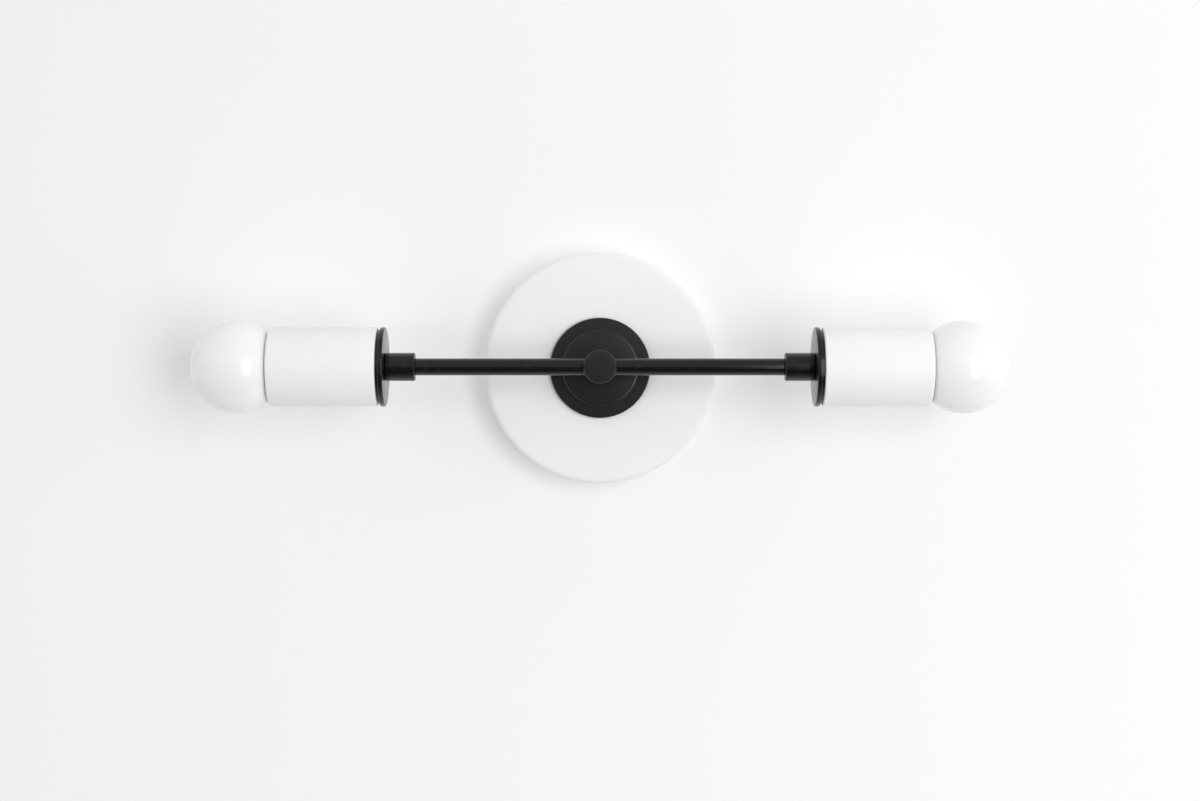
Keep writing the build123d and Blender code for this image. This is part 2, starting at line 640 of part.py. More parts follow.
def arm_pieces(name, side):
    """Pieces of one arm with its socket and bulb, in the light's own frame."""
    along_arm = {
        "arm_tube": arm_tube(),
        "coupler": coupler(),
        "socket_nipple": socket_nipple(),
        "socket_plate": socket_plate(),
        "cup": cup(),
        "cup_lock_washer": lock_washer(CUP_FLOOR),
        "cup_lock_nut": hex_nut(CUP_NUT_START),
        "socket_cap": socket_cap(),
        "socket_body": socket_body(),
        "screw_shell": screw_shell(),
        "contact_spring": contact_spring(),
        "socket_rivets": socket_rivets(),
        "bulb_globe": bulb_globe(),
        "bulb_cap": bulb_cap(),
        "bulb_insulator": bulb_insulator(),
        "bulb_tip": bulb_tip(),
        "bulb_mount": bulb_mount(),
        "bulb_filaments": bulb_filaments(),
    }
    frame = arm_frame(side)
    pieces = {f"{name}_{piece}": frame * solid for piece, solid in along_arm.items()}
    pieces[f"{name}_hot_lead"] = lead(side, 1, HOT_RIVET_OFF)
    pieces[f"{name}_neutral_lead"] = lead(side, -1, NEUTRAL_RIVET_OFF)
    return pieces


parts = centre_pieces()
for side_name, side_sign in SIDES.items():
    parts.update(arm_pieces(side_name, side_sign))
os.makedirs("parts", exist_ok=True)
for node, part in parts.items():
    export_step(part, f"parts/{node}.step")
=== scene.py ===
import logging
import math
from dataclasses import dataclass, field
from enum import Enum
from typing import Callable, Optional, Sequence, Union

import bmesh
import bpy
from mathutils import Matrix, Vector


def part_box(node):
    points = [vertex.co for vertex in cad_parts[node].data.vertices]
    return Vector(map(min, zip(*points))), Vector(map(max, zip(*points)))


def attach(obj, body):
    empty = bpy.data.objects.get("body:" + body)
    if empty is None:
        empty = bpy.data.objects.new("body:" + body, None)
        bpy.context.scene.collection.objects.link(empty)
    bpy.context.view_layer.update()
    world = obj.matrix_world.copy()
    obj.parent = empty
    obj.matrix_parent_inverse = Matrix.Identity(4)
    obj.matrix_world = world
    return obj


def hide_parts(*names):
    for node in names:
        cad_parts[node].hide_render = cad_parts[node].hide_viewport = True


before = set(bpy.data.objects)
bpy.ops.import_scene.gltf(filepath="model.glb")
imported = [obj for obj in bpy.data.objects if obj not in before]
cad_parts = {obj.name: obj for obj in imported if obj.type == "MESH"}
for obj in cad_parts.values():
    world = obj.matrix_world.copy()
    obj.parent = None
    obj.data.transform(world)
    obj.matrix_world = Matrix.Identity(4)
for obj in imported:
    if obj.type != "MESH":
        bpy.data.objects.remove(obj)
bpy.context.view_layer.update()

# Two-lamp bar wall light, dressed on the CAD frame. Lengths are in metres, the front faces -Y
# and the wall is the plane Y = 0.

LOG = logging.getLogger("vanity_light")
MM = 0.001
TINY = 1e-7
FULL_TURN = 2 * math.pi
ROUND_STEPS = 6
SCREW_SEGMENTS = 64
NUT_SEGMENTS = 96
SEGMENTS = 128
FINE_SEGMENTS = 256
ROWS_PER_PITCH = 10
STEPS_PER_TOOTH = 10
STEPS_PER_FLUTE = 12
NOISE_MIDDLE = 0.5
CLOUD_SPREAD = (0.3, 0.7)  # noise values between which a cloud fades
RECESS_TAPER = 0.8  # size of a screw's recess at its floor, as a share
SHARP_ANGLE = math.radians(35)
PAINT_EDGE = 0.15 * MM  # how far paint rounds a sharp edge
METAL_EDGE = 0.08 * MM  # how far a tumbled edge is rounded
PIPE_HOLE = 5.1 * MM  # radius of a hole that the threaded pipe passes
PIPE_FIT = 4.95 * MM  # radius of a hole that the threaded pipe screws into
UPWARD = Vector((0, 0, 1))
FORWARD = Vector((0, -1, 0))  # from the wall into the room

Colour = tuple[float, float, float, float]
Value = Union["Wire", float, Colour, tuple[float, float, float]]


class Side(Enum):
    """The two arms."""

    LEFT = -1
    RIGHT = 1

    @property
    def label(self) -> str:
        """Word that the CAD nodes of this arm start with."""
        return self.name.lower()


class Body(Enum):
    """The moving bodies, with the arm's name in front for all but the first."""

    FIXTURE = "fixture"
    BULB = "bulb"
    BULB_TIP = "bulb_tip"

    def of(self, side: Optional[Side] = None) -> str:
        """Name of this body in the frame."""
        return self.value if side is None else f"{side.label}_{self.value}"


def shade(red: float, green: float, blue: float) -> Colour:
    """An opaque colour from its linear parts."""
    return (red, green, blue, 1.0)


class Wire:
    """One value in a shader graph, which Python's operators combine."""

    def __init__(self, graph: "Graph", output: Optional[bpy.types.NodeSocket]) -> None:
        """Keep the graph and the output that the value comes from."""
        self.graph = graph
        self.output = output

    def _join(self, operation: str, first: Value, second: Value) -> "Wire":
        """Add one Math node."""
        return self.graph.node("ShaderNodeMath", {"operation": operation}, {0: first, 1: second})

    def __add__(self, other: Value) -> "Wire":
        """This value plus another."""
        return self._join("ADD", self, other)

    def __radd__(self, other: Value) -> "Wire":
        """Another value plus this one."""
        return self._join("ADD", other, self)

    def __sub__(self, other: Value) -> "Wire":
        """This value less another."""
        return self._join("SUBTRACT", self, other)

    def __rsub__(self, other: Value) -> "Wire":
        """Another value less this one."""
        return self._join("SUBTRACT", other, self)

    def __mul__(self, other: Value) -> "Wire":
        """This value times another."""
        return self._join("MULTIPLY", self, other)

    def __rmul__(self, other: Value) -> "Wire":
        """Another value times this one."""
        return self._join("MULTIPLY", other, self)


class Graph:
    """The shader nodes of one material or world."""

    MIX_FACTOR = 0
    MIX_FIRST = 6
    MIX_SECOND = 7
    MIX_RESULT = 2

    def __init__(self, tree: bpy.types.NodeTree) -> None:
        """Start with an empty tree."""
        self.tree = tree
        tree.nodes.clear()

    def node(
        self,
        kind: str,
        settings: Optional[dict[str, object]] = None,
        sockets: Optional[dict[Union[str, int], Value]] = None,
        output: Union[str, int] = 0,
    ) -> Wire:
        """Add one node.

        Args:
            kind: Blender's type name of the node.
            settings: properties of the node, set first.
            sockets: values or links of its inputs, by name or number.
            output: the output that is handed on.

        Returns:
            The chosen output, or an empty wire for a node that has none.
        """
        made = self.tree.nodes.new(kind)
        for name, setting in (settings or {}).items():
            setattr(made, name, setting)
        for name, value in (sockets or {}).items():
            if isinstance(value, Wire):
                self.tree.links.new(value.output, made.inputs[name])
            else:
                made.inputs[name].default_value = value
        return Wire(self, made.outputs[output] if made.outputs else None)

    def place(self) -> Wire:
        """Place of the shaded point in the piece's own frame."""
        return self.node("ShaderNodeTexCoord", output="Object")

    def noise(
        self,
        grain: float,
        detail: float = 2.0,
        stretch: tuple[float, float, float] = (1.0, 1.0, 1.0),
    ) -> Wire:
        """Cloudy noise, about 0.5 in the middle.

        Args:
            grain: size of one blotch.
            detail: number of finer layers.
            stretch: how much closer the blotches stand along each axis.

        Returns:
            The noise value.
        """
        spots = {0: self.place(), 1: stretch}
        scaled = self.node("ShaderNodeVectorMath", {"operation": "MULTIPLY"}, spots)
        sockets = {"Vector": scaled, "Scale": 1 / grain, "Detail": detail}
        return self.node("ShaderNodeTexNoise", None, sockets)

    def step(self, value: Value, low: float, high: float) -> Wire:
        """Smooth step of a value from 0 at low to 1 at high."""
        sockets = {"Value": value, "From Min": low, "From Max": high}
        return self.node("ShaderNodeMapRange", {"interpolation_type": "SMOOTHSTEP"}, sockets)

    def mix(self, share: Value, first: Value, second: Value) -> Wire:
        """Mix of two colours."""
        sockets = {self.MIX_FACTOR: share, self.MIX_FIRST: first, self.MIX_SECOND: second}
        return self.node("ShaderNodeMix", {"data_type": "RGBA"}, sockets, self.MIX_RESULT)

    def drift(self, noise: Wire, first: Colour, second: Colour) -> Wire:
        """Colour that drifts from one tone to another with a noise."""
        return self.mix(self.step(noise, *CLOUD_SPREAD), first, second)

    def sway(self, noise: Wire, depth: float) -> Wire:
        """Noise as a swing about zero, this deep from low to high."""
        return (noise - NOISE_MIDDLE) * depth

    def edge(self) -> Wire:
        """Share of edge that the mesh carries at the point."""
        return self.node("ShaderNodeAttribute", {"attribute_name": "edge"}, output="Fac")

    def within(self, centre: Vector, reach: float, blur: float) -> Wire:
        """Mask that is 1 inside a ball.

        Args:
            centre: middle of the ball.
            reach: radius of the ball.
            blur: width of the soft border.

        Returns:
            The mask.
        """
        spots = {0: self.place(), 1: tuple(centre)}
        distance = self.node("ShaderNodeVectorMath", {"operation": "DISTANCE"}, spots, "Value")
        return 1 - self.step(distance, reach - blur, reach)

    def bump(self, height: Value, rise: float) -> Wire:
        """Normal of a surface with this height pattern, rise metres high."""
        return self.node("ShaderNodeBump", None, {"Height": height, "Distance": rise})

    def surface(self, sockets: dict[Union[str, int], Value]) -> Wire:
        """Principled shader with these sockets."""
        return self.node("ShaderNodeBsdfPrincipled", None, sockets)


@dataclass(frozen=True)
class Finish:
    """A surface finish, named by the slot that it fills in the record."""

    slot: str

    @property
    def label(self) -> str:
        """Name of the finish's material."""
        return f"{self.slot}_finish"

    def shader(self, graph: Graph) -> Wire:
        """Add the finish's nodes to a graph and return its shader."""
        raise NotImplementedError

    def material(self) -> bpy.types.Material:
        """Material of the finish, made at its first use.

        Returns:
            The material.
        """
        made = bpy.data.materials.get(self.label)
        if made is None:
            made = bpy.data.materials.new(self.label)
            made.use_nodes = True
            graph = Graph(made.node_tree)
            graph.node("ShaderNodeOutputMaterial", None, {"Surface": self.shader(graph)})
        return made

    def dress(self, piece: bpy.types.Object) -> None:
        """Give a piece this finish alone."""
        piece.data.materials.clear()
        piece.data.materials.append(self.material())


@dataclass(frozen=True)
class PowderCoat(Finish):
    """Baked paint with a fine orange peel, rubbed a little along its edges."""

    colour: Colour
    thick: Colour
    rubbed: Colour
    roughness: float
    peel: float
    uneven: float = 0.1
    ior: float = 1.5
    grade: str = "coat"
    cloud_size: float = 38 * MM
    peel_size: float = 0.9 * MM
    peel_share: float = 0.7
    grit_size: float = 0.22 * MM
    scuff_size: float = 3.5 * MM
    scuff_spread: tuple[float, float] = (0.5, 0.72)
    wear: float = 0.55
    polish: float = 0.1

    @property
    def label(self) -> str:
        """Name of the material, apart for each grade of gloss."""
        return f"{self.slot}_{self.grade}"

    def shader(self, graph: Graph) -> Wire:
        """Clouded colour, uneven gloss and a pebbled surface.

        Args:
            graph: nodes of the material.

        Returns:
            The shader.
        """
        cloud = graph.noise(self.cloud_size, detail=3.0)
        peel = graph.noise(self.peel_size, detail=2.0)
        grit = graph.noise(self.grit_size, detail=1.0)
        scuff = graph.step(graph.noise(self.scuff_size, detail=5.0), *self.scuff_spread)
        worn = graph.edge() * scuff * self.wear
        tone = graph.drift(cloud, self.colour, self.thick)
        pebble = peel * self.peel_share + grit * (1 - self.peel_share)
        return graph.surface(
            {
                "Base Color": graph.mix(worn, tone, self.rubbed),
                "Roughness": self.roughness + (cloud + grit - 1) * self.uneven - worn * self.polish,
                "Normal": graph.bump(pebble, self.peel),
                "IOR": self.ior,
            }
        )


@dataclass(frozen=True)
class OpalGlass(Finish):
    """Milky glass, smooth outside."""

    colour: Colour
    dense: Colour
    roughness: float = 0.2
    ior: float = 1.45
    cloud_size: float = 16 * MM
    wave_size: float = 11 * MM
    wave_height: float = 0.03 * MM
    smear_size: float = 5 * MM
    smear_depth: float = 0.05

    def shader(self, graph: Graph) -> Wire:
        """Faint clouds in the opal and the long waves of blown glass.

        Args:
            graph: nodes of the material.

        Returns:
            The shader.
        """
        cloud = graph.noise(self.cloud_size, detail=2.0)
        wave = graph.noise(self.wave_size, detail=1.0)
        smear = graph.noise(self.smear_size, detail=4.0)
        return graph.surface(
            {
                "Base Color": graph.drift(cloud, self.colour, self.dense),
                "Roughness": self.roughness + graph.sway(smear, self.smear_depth),
                "Normal": graph.bump(wave, self.wave_height),
                "IOR": self.ior,
            }
        )


@dataclass(frozen=True)
class GlazedPorcelain(Finish):
    """Fired porcelain under a clear glaze, with iron specks and pinholes."""

    colour: Colour
    body: Colour
    speck: Colour
    roughness: float = 0.2
    glaze: float = 0.6
    glaze_roughness: float = 0.06
    ior: float = 1.52
    speck_size: float = 0.7 * MM
    speck_spread: tuple[float, float] = (0.71, 0.76)
    speck_share: float = 0.6
    cloud_size: float = 7 * MM
    cloud_depth: float = 0.12
    bare_size: float = 1.5 * MM
    bare_spread: tuple[float, float] = (0.4, 0.7)
    bare_roughness: float = 0.3
    bare_glaze: float = 0.5
    ripple_size: float = 2.2 * MM
    ripple_height: float = 0.03 * MM

    def shader(self, graph: Graph) -> Wire:
        """Specked colour and the slight ripple of the glaze.

        Args:
            graph: nodes of the material.

        Returns:
            The shader.
        """
        specks = graph.step(graph.noise(self.speck_size, detail=1.0), *self.speck_spread)
        cloud = graph.noise(self.cloud_size, detail=3.0)
        bare = graph.edge() * graph.step(graph.noise(self.bare_size, detail=3.0), *self.bare_spread)
        tone = graph.drift(cloud, self.colour, self.body)
        uneven = graph.sway(cloud, self.cloud_depth) + bare * self.bare_roughness
        return graph.surface(
            {
                "Base Color": graph.mix(specks * self.speck_share, tone, self.speck),
                "Roughness": self.roughness + uneven,
                "Coat Weight": self.glaze - bare * self.bare_glaze,
                "Normal": graph.bump(graph.noise(self.ripple_size, detail=2.0), self.ripple_height),
                "Coat Roughness": self.glaze_roughness,
                "IOR": self.ior,
            }
        )


@dataclass(frozen=True)
class PlatedMetal(Finish):
    """Bare or plated metal with tool marks along one way and a little tarnish."""

    colour: Colour
    tarnish: Colour
    roughness: float
    drawn: tuple[float, float, float] = (1.0, 1.0, 1.0)
    metallic: float = 1.0
    mark_size: float = 0.3 * MM
    mark_height: float = 0.012 * MM
    mark_depth: float = 0.22
    stain_size: float = 5 * MM
    stain_spread: tuple[float, float] = (0.46, 0.74)
    stain_share: float = 0.7
    stain_roughness: float = 0.12
    edge_polish: float = 0.12

    def shader(self, graph: Graph) -> Wire:
        """Mottled colour with drawn marks in gloss and height.

        Args:
            graph: nodes of the material.

        Returns:
            The shader.
        """
        marks = graph.noise(self.mark_size, detail=3.0, stretch=self.drawn)
        stain = graph.step(graph.noise(self.stain_size, detail=4.0), *self.stain_spread)
        uneven = graph.sway(marks, self.mark_depth) + stain * self.stain_roughness
        return graph.surface(
            {
                "Base Color": graph.mix(stain * self.stain_share, self.colour, self.tarnish),
                "Roughness": self.roughness + uneven - graph.edge() * self.edge_polish,
                "Normal": graph.bump(marks, self.mark_height),
                "Metallic": self.metallic,
            }
        )


@dataclass(frozen=True)
class WireInsulation(Finish):
    """Soft plastic round a lead, with faint rings from the die."""

    colour: Colour
    scuffed: Colour
    roughness: float = 0.4
    ior: float = 1.48
    dust_size: float = 2.5 * MM
    dust_spread: tuple[float, float] = (0.45, 0.75)
    dust_share: float = 0.5
    dust_roughness: float = 0.2
    ripple_size: float = 0.9 * MM
    ripple_height: float = 0.02 * MM
    ripple_depth: float = 0.1

    def shader(self, graph: Graph) -> Wire:
        """Dusty colour and shallow ripples.

        Args:
            graph: nodes of the material.

        Returns:
            The shader.
        """
        dust = graph.step(graph.noise(self.dust_size, detail=5.0), *self.dust_spread)
        ripple = graph.noise(self.ripple_size, detail=2.0)
        uneven = dust * self.dust_roughness + graph.sway(ripple, self.ripple_depth)
        return graph.surface(
            {
                "Base Color": graph.mix(dust * self.dust_share, self.colour, self.scuffed),
                "Roughness": self.roughness + uneven,
                "Normal": graph.bump(ripple, self.ripple_height),
                "IOR": self.ior,
            }
        )


@dataclass(frozen=True)
class LuggedLead(Finish):
    """Insulated lead with a metal eye and barrel at each end."""

    wire: WireInsulation
    lug: PlatedMetal
    ends: tuple[tuple[Vector, float], ...]
    blur: float = 0.1 * MM

    def shader(self, graph: Graph) -> Wire:
        """The lug's metal inside a ball round each end, and insulation between.

        Args:
            graph: nodes of the material.

        Returns:
            The shader.
        """
        metal = sum(graph.within(centre, reach, self.blur) for centre, reach in self.ends)
        sockets = {0: metal, 1: self.wire.shader(graph), 2: self.lug.shader(graph)}
        return graph.node("ShaderNodeMixShader", None, sockets)


@dataclass(frozen=True)
class MouldedPlastic(Finish):
    """Hard coloured plastic from a spark-worn mould."""

    colour: Colour
    pale: Colour
    roughness: float = 0.42
    ior: float = 1.49
    flow_size: float = 4 * MM
    flow_stretch: tuple[float, float, float] = (1.0, 1.0, 0.3)
    flow_spread: tuple[float, float] = (0.35, 0.75)
    flow_share: float = 0.35
    rub_spread: tuple[float, float] = (0.4, 0.7)
    rub_share: float = 0.6
    sand_size: float = 0.15 * MM
    sand_height: float = 0.015 * MM
    sand_depth: float = 0.2

    def shader(self, graph: Graph) -> Wire:
        """Flow marks in the colour and a fine sandy skin.

        Args:
            graph: nodes of the material.

        Returns:
            The shader.
        """
        flow = graph.noise(self.flow_size, detail=3.0, stretch=self.flow_stretch)
        sand = graph.noise(self.sand_size, detail=2.0)
        rubbed = graph.edge() * graph.step(flow, *self.rub_spread) * self.rub_share
        streaks = graph.step(flow, *self.flow_spread) * self.flow_share
        return graph.surface(
            {
                "Base Color": graph.mix(streaks + rubbed, self.colour, self.pale),
                "Roughness": self.roughness + graph.sway(sand, self.sand_depth),
                "Normal": graph.bump(sand, self.sand_height),
                "IOR": self.ior,
            }
        )


@dataclass(frozen=True)
class PressedGlass(Finish):
    """Glass pressed while soft, with flow lines, clear or nearly black."""

    colour: Colour
    streak: Colour
    clear: float
    roughness: float = 0.1
    ior: float = 1.5
    flow_size: float = 3 * MM
    flow_spread: tuple[float, float] = (0.4, 0.7)
    flow_height: float = 0.02 * MM
    flow_depth: float = 0.12

    def shader(self, graph: Graph) -> Wire:
        """Streaked colour and a fire-polished, slightly wavy skin.

        Args:
            graph: nodes of the material.

        Returns:
            The shader.
        """
        flow = graph.noise(self.flow_size, detail=4.0)
        streaks = graph.step(flow, *self.flow_spread)
        return graph.surface(
            {
                "Base Color": graph.mix(streaks, self.colour, self.streak),
                "Roughness": self.roughness + graph.sway(flow, self.flow_depth),
                "Normal": graph.bump(flow, self.flow_height),
                "Transmission Weight": self.clear,
                "IOR": self.ior,
            }
        )


@dataclass(frozen=True)
class PhosphorCoat(Finish):
    """Grainy yellow coat on the lamp's filaments."""

    colour: Colour
    deep: Colour
    roughness: float = 0.65
    grain_size: float = 0.2 * MM
    grain_spread: tuple[float, float] = (0.4, 0.65)
    grain_height: float = 0.03 * MM
    grain_depth: float = 0.2

    def shader(self, graph: Graph) -> Wire:
        """Grains of two yellows.

        Args:
            graph: nodes of the material.

        Returns:
            The shader.
        """
        grain = graph.noise(self.grain_size, detail=3.0)
        tone = graph.mix(graph.step(grain, *self.grain_spread), self.colour, self.deep)
        return graph.surface(
            {
                "Base Color": tone,
                "Roughness": self.roughness + graph.sway(grain, self.grain_depth),
                "Normal": graph.bump(grain, self.grain_height),
            }
        )


@dataclass(frozen=True)
class RoomPaint(Finish):
    """Pale matt paint of the wall, clear when it is seen from behind."""

    colour: Colour
    uneven: Colour
    pale: float = 0.2
    roughness: float = 0.75
    specular: float = 0.2
    roller_size: float = 220 * MM

    def shader(self, graph: Graph) -> Wire:
        """Faintly uneven paint that shows a little paler, and nothing on the back.

        Args:
            graph: nodes of the material.

        Returns:
            The shader.
        """
        roller = graph.noise(self.roller_size, detail=3.0)
        paint = graph.surface(
            {
                "Base Color": graph.drift(roller, self.colour, self.uneven),
                "Roughness": self.roughness,
                "Specular IOR Level": self.specular,
            }
        )
        seen = graph.node("ShaderNodeLightPath", output="Is Camera Ray")
        for ray in ("Is Glossy Ray", "Is Transmission Ray"):
            seen = seen + graph.node("ShaderNodeLightPath", output=ray)
        white = graph.node("ShaderNodeEmission", None, {"Color": shade(1.0, 1.0, 1.0), "Strength": 1.0})
        shown = graph.node("ShaderNodeMixShader", None, {0: seen * self.pale, 1: paint, 2: white})
        behind = graph.node("ShaderNodeNewGeometry", output="Backfacing")
        sockets = {0: behind, 1: shown, 2: graph.node("ShaderNodeBsdfTransparent")}
        return graph.node("ShaderNodeMixShader", None, sockets)


WHITE_PAINT = PowderCoat(
    "white_paint",
    colour=shade(0.9, 0.9, 0.898),
    thick=shade(0.885, 0.886, 0.886),
    rubbed=shade(0.91, 0.91, 0.91),
    roughness=0.55,
    peel=0.035 * MM,
    ior=1.42,
)
MATT_BLACK = PowderCoat(
    "black_paint",
    colour=shade(0.009, 0.009, 0.0093),
    thick=shade(0.0079, 0.0079, 0.0082),
    rubbed=shade(0.02, 0.02, 0.0205),
    roughness=0.23,
    peel=0.012 * MM,
    ior=1.47,
    grade="matt",
)
SATIN_BLACK = PowderCoat(
    "black_paint",
    colour=shade(0.003, 0.003, 0.0032),
    thick=shade(0.0026, 0.0026, 0.0028),
    rubbed=shade(0.016, 0.016, 0.017),
    roughness=0.2,
    peel=0.006 * MM,
    uneven=0.06,
    ior=1.45,
    grade="satin",
)
OPAL_GLASS = OpalGlass("opal_glass", shade(0.91, 0.91, 0.905), shade(0.895, 0.895, 0.888))
PORCELAIN = GlazedPorcelain(
    "porcelain",
    colour=shade(0.82, 0.80, 0.75),
    body=shade(0.78, 0.755, 0.70),
    speck=shade(0.25, 0.19, 0.13),
)
ROUND_ARM = (3.0, 0.02, 0.02)  # marks that run round an arm's line
ZINC_STEEL = PlatedMetal(
    "zinc_steel",
    colour=shade(0.60, 0.62, 0.64),
    tarnish=shade(0.44, 0.46, 0.47),
    roughness=0.34,
    drawn=(0.05, 1.0, 1.0),
)
BRASS = PlatedMetal(
    "brass",
    colour=shade(0.76, 0.56, 0.25),
    tarnish=shade(0.48, 0.31, 0.12),
    roughness=0.27,
    drawn=ROUND_ARM,
)
LAMP_CAP_METAL = PlatedMetal(
    "lamp_cap_metal",
    colour=shade(0.80, 0.80, 0.80),
    tarnish=shade(0.62, 0.62, 0.61),
    roughness=0.26,
    drawn=ROUND_ARM,
)
GREEN_METAL = PlatedMetal(
    "green_metal",
    colour=shade(0.08, 0.34, 0.13),
    tarnish=shade(0.05, 0.2, 0.08),
    roughness=0.32,
)
GREEN_INSULATION = WireInsulation("green_wire", shade(0.02, 0.19, 0.06), shade(0.08, 0.26, 0.12))
BLACK_INSULATION = WireInsulation(
    "black_insulation", shade(0.012, 0.012, 0.013), shade(0.05, 0.05, 0.05)
)
WHITE_INSULATION = WireInsulation(
    "white_insulation", shade(0.78, 0.77, 0.74), shade(0.62, 0.61, 0.58)
)
WIRE_NUT_PLASTIC = MouldedPlastic(
    "wire_nut_plastic", shade(0.85, 0.22, 0.025), shade(0.9, 0.36, 0.1)
)
CLEAR_GLASS = PressedGlass("clear_glass", shade(0.97, 0.98, 0.98), shade(0.93, 0.95, 0.95), 1.0)
BLACK_GLASS = PressedGlass("black_glass", shade(0.012, 0.011, 0.014), shade(0.03, 0.026, 0.036), 0.0)
FILAMENT = PhosphorCoat("filament", shade(0.82, 0.55, 0.12), shade(0.66, 0.38, 0.06))
ROOM_WALL = RoomPaint("room_wall", shade(0.92, 0.92, 0.92), shade(0.915, 0.916, 0.917))


@dataclass(frozen=True)
class Spot:
    """A point of a turned outline.

    The edge is the share of edge wear there, and the cut is the share of the thread or
    flutes that are cut there.
    """

    along: float
    radius: float
    edge: float = 0.0
    cut: float = 0.0


@dataclass(frozen=True)
class Corner:
    """A corner of a turned outline and the radius that rounds it."""

    along: float
    radius: float
    bend: float = 0.0


@dataclass(frozen=True)
class Span:
    """Start, end and largest radius of a piece about an axis."""

    start: float
    end: float
    radius: float


@dataclass(frozen=True)
class Axis:
    """A line that pieces are turned about."""

    origin: Vector
    out: Vector
    up: Vector

    def point(self, along: float, radius: float, angle: float) -> Vector:
        """Place of a point of a turned surface."""
        ray = self.up * math.cos(angle) + self.out.cross(self.up) * math.sin(angle)
        return self.origin + self.out * along + ray * radius

    def span(self, node: str) -> Span:
        """Reach of a CAD node along and about this line.

        Args:
            node: name of the CAD node.

        Returns:
            Its start, end and largest radius.
        """
        offsets = [vertex.co - self.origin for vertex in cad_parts[node].data.vertices]
        along = [offset.dot(self.out) for offset in offsets]
        radii = [(offset - self.out * reach).length for offset, reach in zip(offsets, along)]
        return Span(min(along), max(along), max(radii))


def middle_of(node: str) -> Vector:
    """Middle of a CAD node's box."""
    low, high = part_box(node)
    return (low + high) / 2


def arm_axis(side: Side) -> Axis:
    """Line of one arm, from the hub outwards."""
    middle = middle_of(f"{side.label}_arm_tube")
    return Axis(Vector((0, middle.y, middle.z)), Vector((side.value, 0, 0)), UPWARD)


Cut = Callable[[Spot, float], tuple[float, float]]


@dataclass(frozen=True)
class Thread:
    """Right-hand screw thread with rounded crests, cut inwards from the outline."""

    pitch: float
    depth: float

    def __call__(self, spot: Spot, angle: float) -> tuple[float, float]:
        """Place along the axis and radius of the thread at an angle.

        Args:
            spot: point of the outline.
            angle: angle about the axis.

        Returns:
            The place along the axis and the radius.
        """
        turn = spot.along / self.pitch - angle / FULL_TURN
        valley = 0.5 - 0.5 * math.cos(FULL_TURN * turn)
        return spot.along, spot.radius - self.depth * valley * spot.cut


@dataclass(frozen=True)
class HexFlats:
    """Six flats cut on a round blank."""

    flats: float

    def __call__(self, spot: Spot, angle: float) -> tuple[float, float]:
        """Place along the axis and radius of the nut at an angle.

        Args:
            spot: point of the outline.
            angle: angle about the axis.

        Returns:
            The place along the axis and the radius.
        """
        sixth = FULL_TURN / 6
        off_middle = (angle + sixth / 2) % sixth - sixth / 2
        return spot.along, min(spot.radius, self.flats / 2 / math.cos(off_middle))


@dataclass(frozen=True)
class Flutes:
    """Finger grooves round a cap, narrower than the ridges where the power is below 1."""

    count: int
    depth: float
    power: float = 0.6

    def __call__(self, spot: Spot, angle: float) -> tuple[float, float]:
        """Place along the axis and radius of the grooved skin at an angle."""
        groove = abs(math.sin(self.count * angle / 2)) ** self.power
        return spot.along, spot.radius - self.depth * (1 - groove) * spot.cut


@dataclass(frozen=True)
class LockTeeth:
    """Twisted teeth round a lock washer."""

    count: int
    depth: float
    twist: float
    gap: float = 0.36

    def __call__(self, spot: Spot, angle: float) -> tuple[float, float]:
        """Place along the axis and radius of the toothed rim at an angle.

        Args:
            spot: point of the outline.
            angle: angle about the axis.

        Returns:
            The place along the axis and the radius.
        """
        phase = (self.count * angle / FULL_TURN) % 1.0
        if phase < self.gap:
            return spot.along, spot.radius - self.depth * spot.cut
        lean = (phase - self.gap) / (1 - self.gap) - 0.5
        return spot.along + self.twist * lean * spot.cut, spot.radius


def arc(
    middle: tuple[float, float],
    radius: float,
    first: float,
    last: float,
    steps: int,
    edge: float = 0.0,
) -> list[Spot]:
    """Points of an arc in an outline.

    Args:
        middle: centre of the arc, as distance along the axis and radius.
        radius: radius of the arc.
        first: angle of its first point, from the axis.
        last: angle of its last point.
        steps: number of stretches.
        edge: share of edge wear on it.

    Returns:
        The points in order.
    """
    spots = []
    for step in range(steps + 1):
        angle = first + (last - first) * step / steps
        along = middle[0] + radius * math.cos(angle)
        spots.append(Spot(along, max(0.0, middle[1] + radius * math.sin(angle)), edge))
    return spots


def rounded(corners: Sequence[Corner], closed: bool = True) -> list[Spot]:
    """Outline with its corners rounded.

    Args:
        corners: the sharp corners in order.
        closed: whether the last corner joins the first.

    Returns:
        The points of the outline.
    """
    spots: list[Spot] = []
    for index, corner in enumerate(corners):
        at_end = not closed and index in (0, len(corners) - 1)
        if corner.bend <= 0 or at_end:
            spots.append(Spot(corner.along, corner.radius))
            continue
        here = Vector((corner.along, corner.radius))
        last = corners[index - 1]
        following = corners[(index + 1) % len(corners)]
        back = (Vector((last.along, last.radius)) - here).normalized()
        ahead = (Vector((following.along, following.radius)) - here).normalized()
        half = back.angle(ahead) / 2
        middle = here + (back + ahead).normalized() * corner.bend / math.sin(half)
        start = here + back * corner.bend / math.tan(half) - middle
        end = here + ahead * corner.bend / math.tan(half) - middle
        first = math.atan2(start.y, start.x)
        sweep = (math.atan2(end.y, end.x) - first + math.pi) % FULL_TURN - math.pi
        spots += arc(tuple(middle), corner.bend, first, first + sweep, ROUND_STEPS, edge=1.0)
    return spots


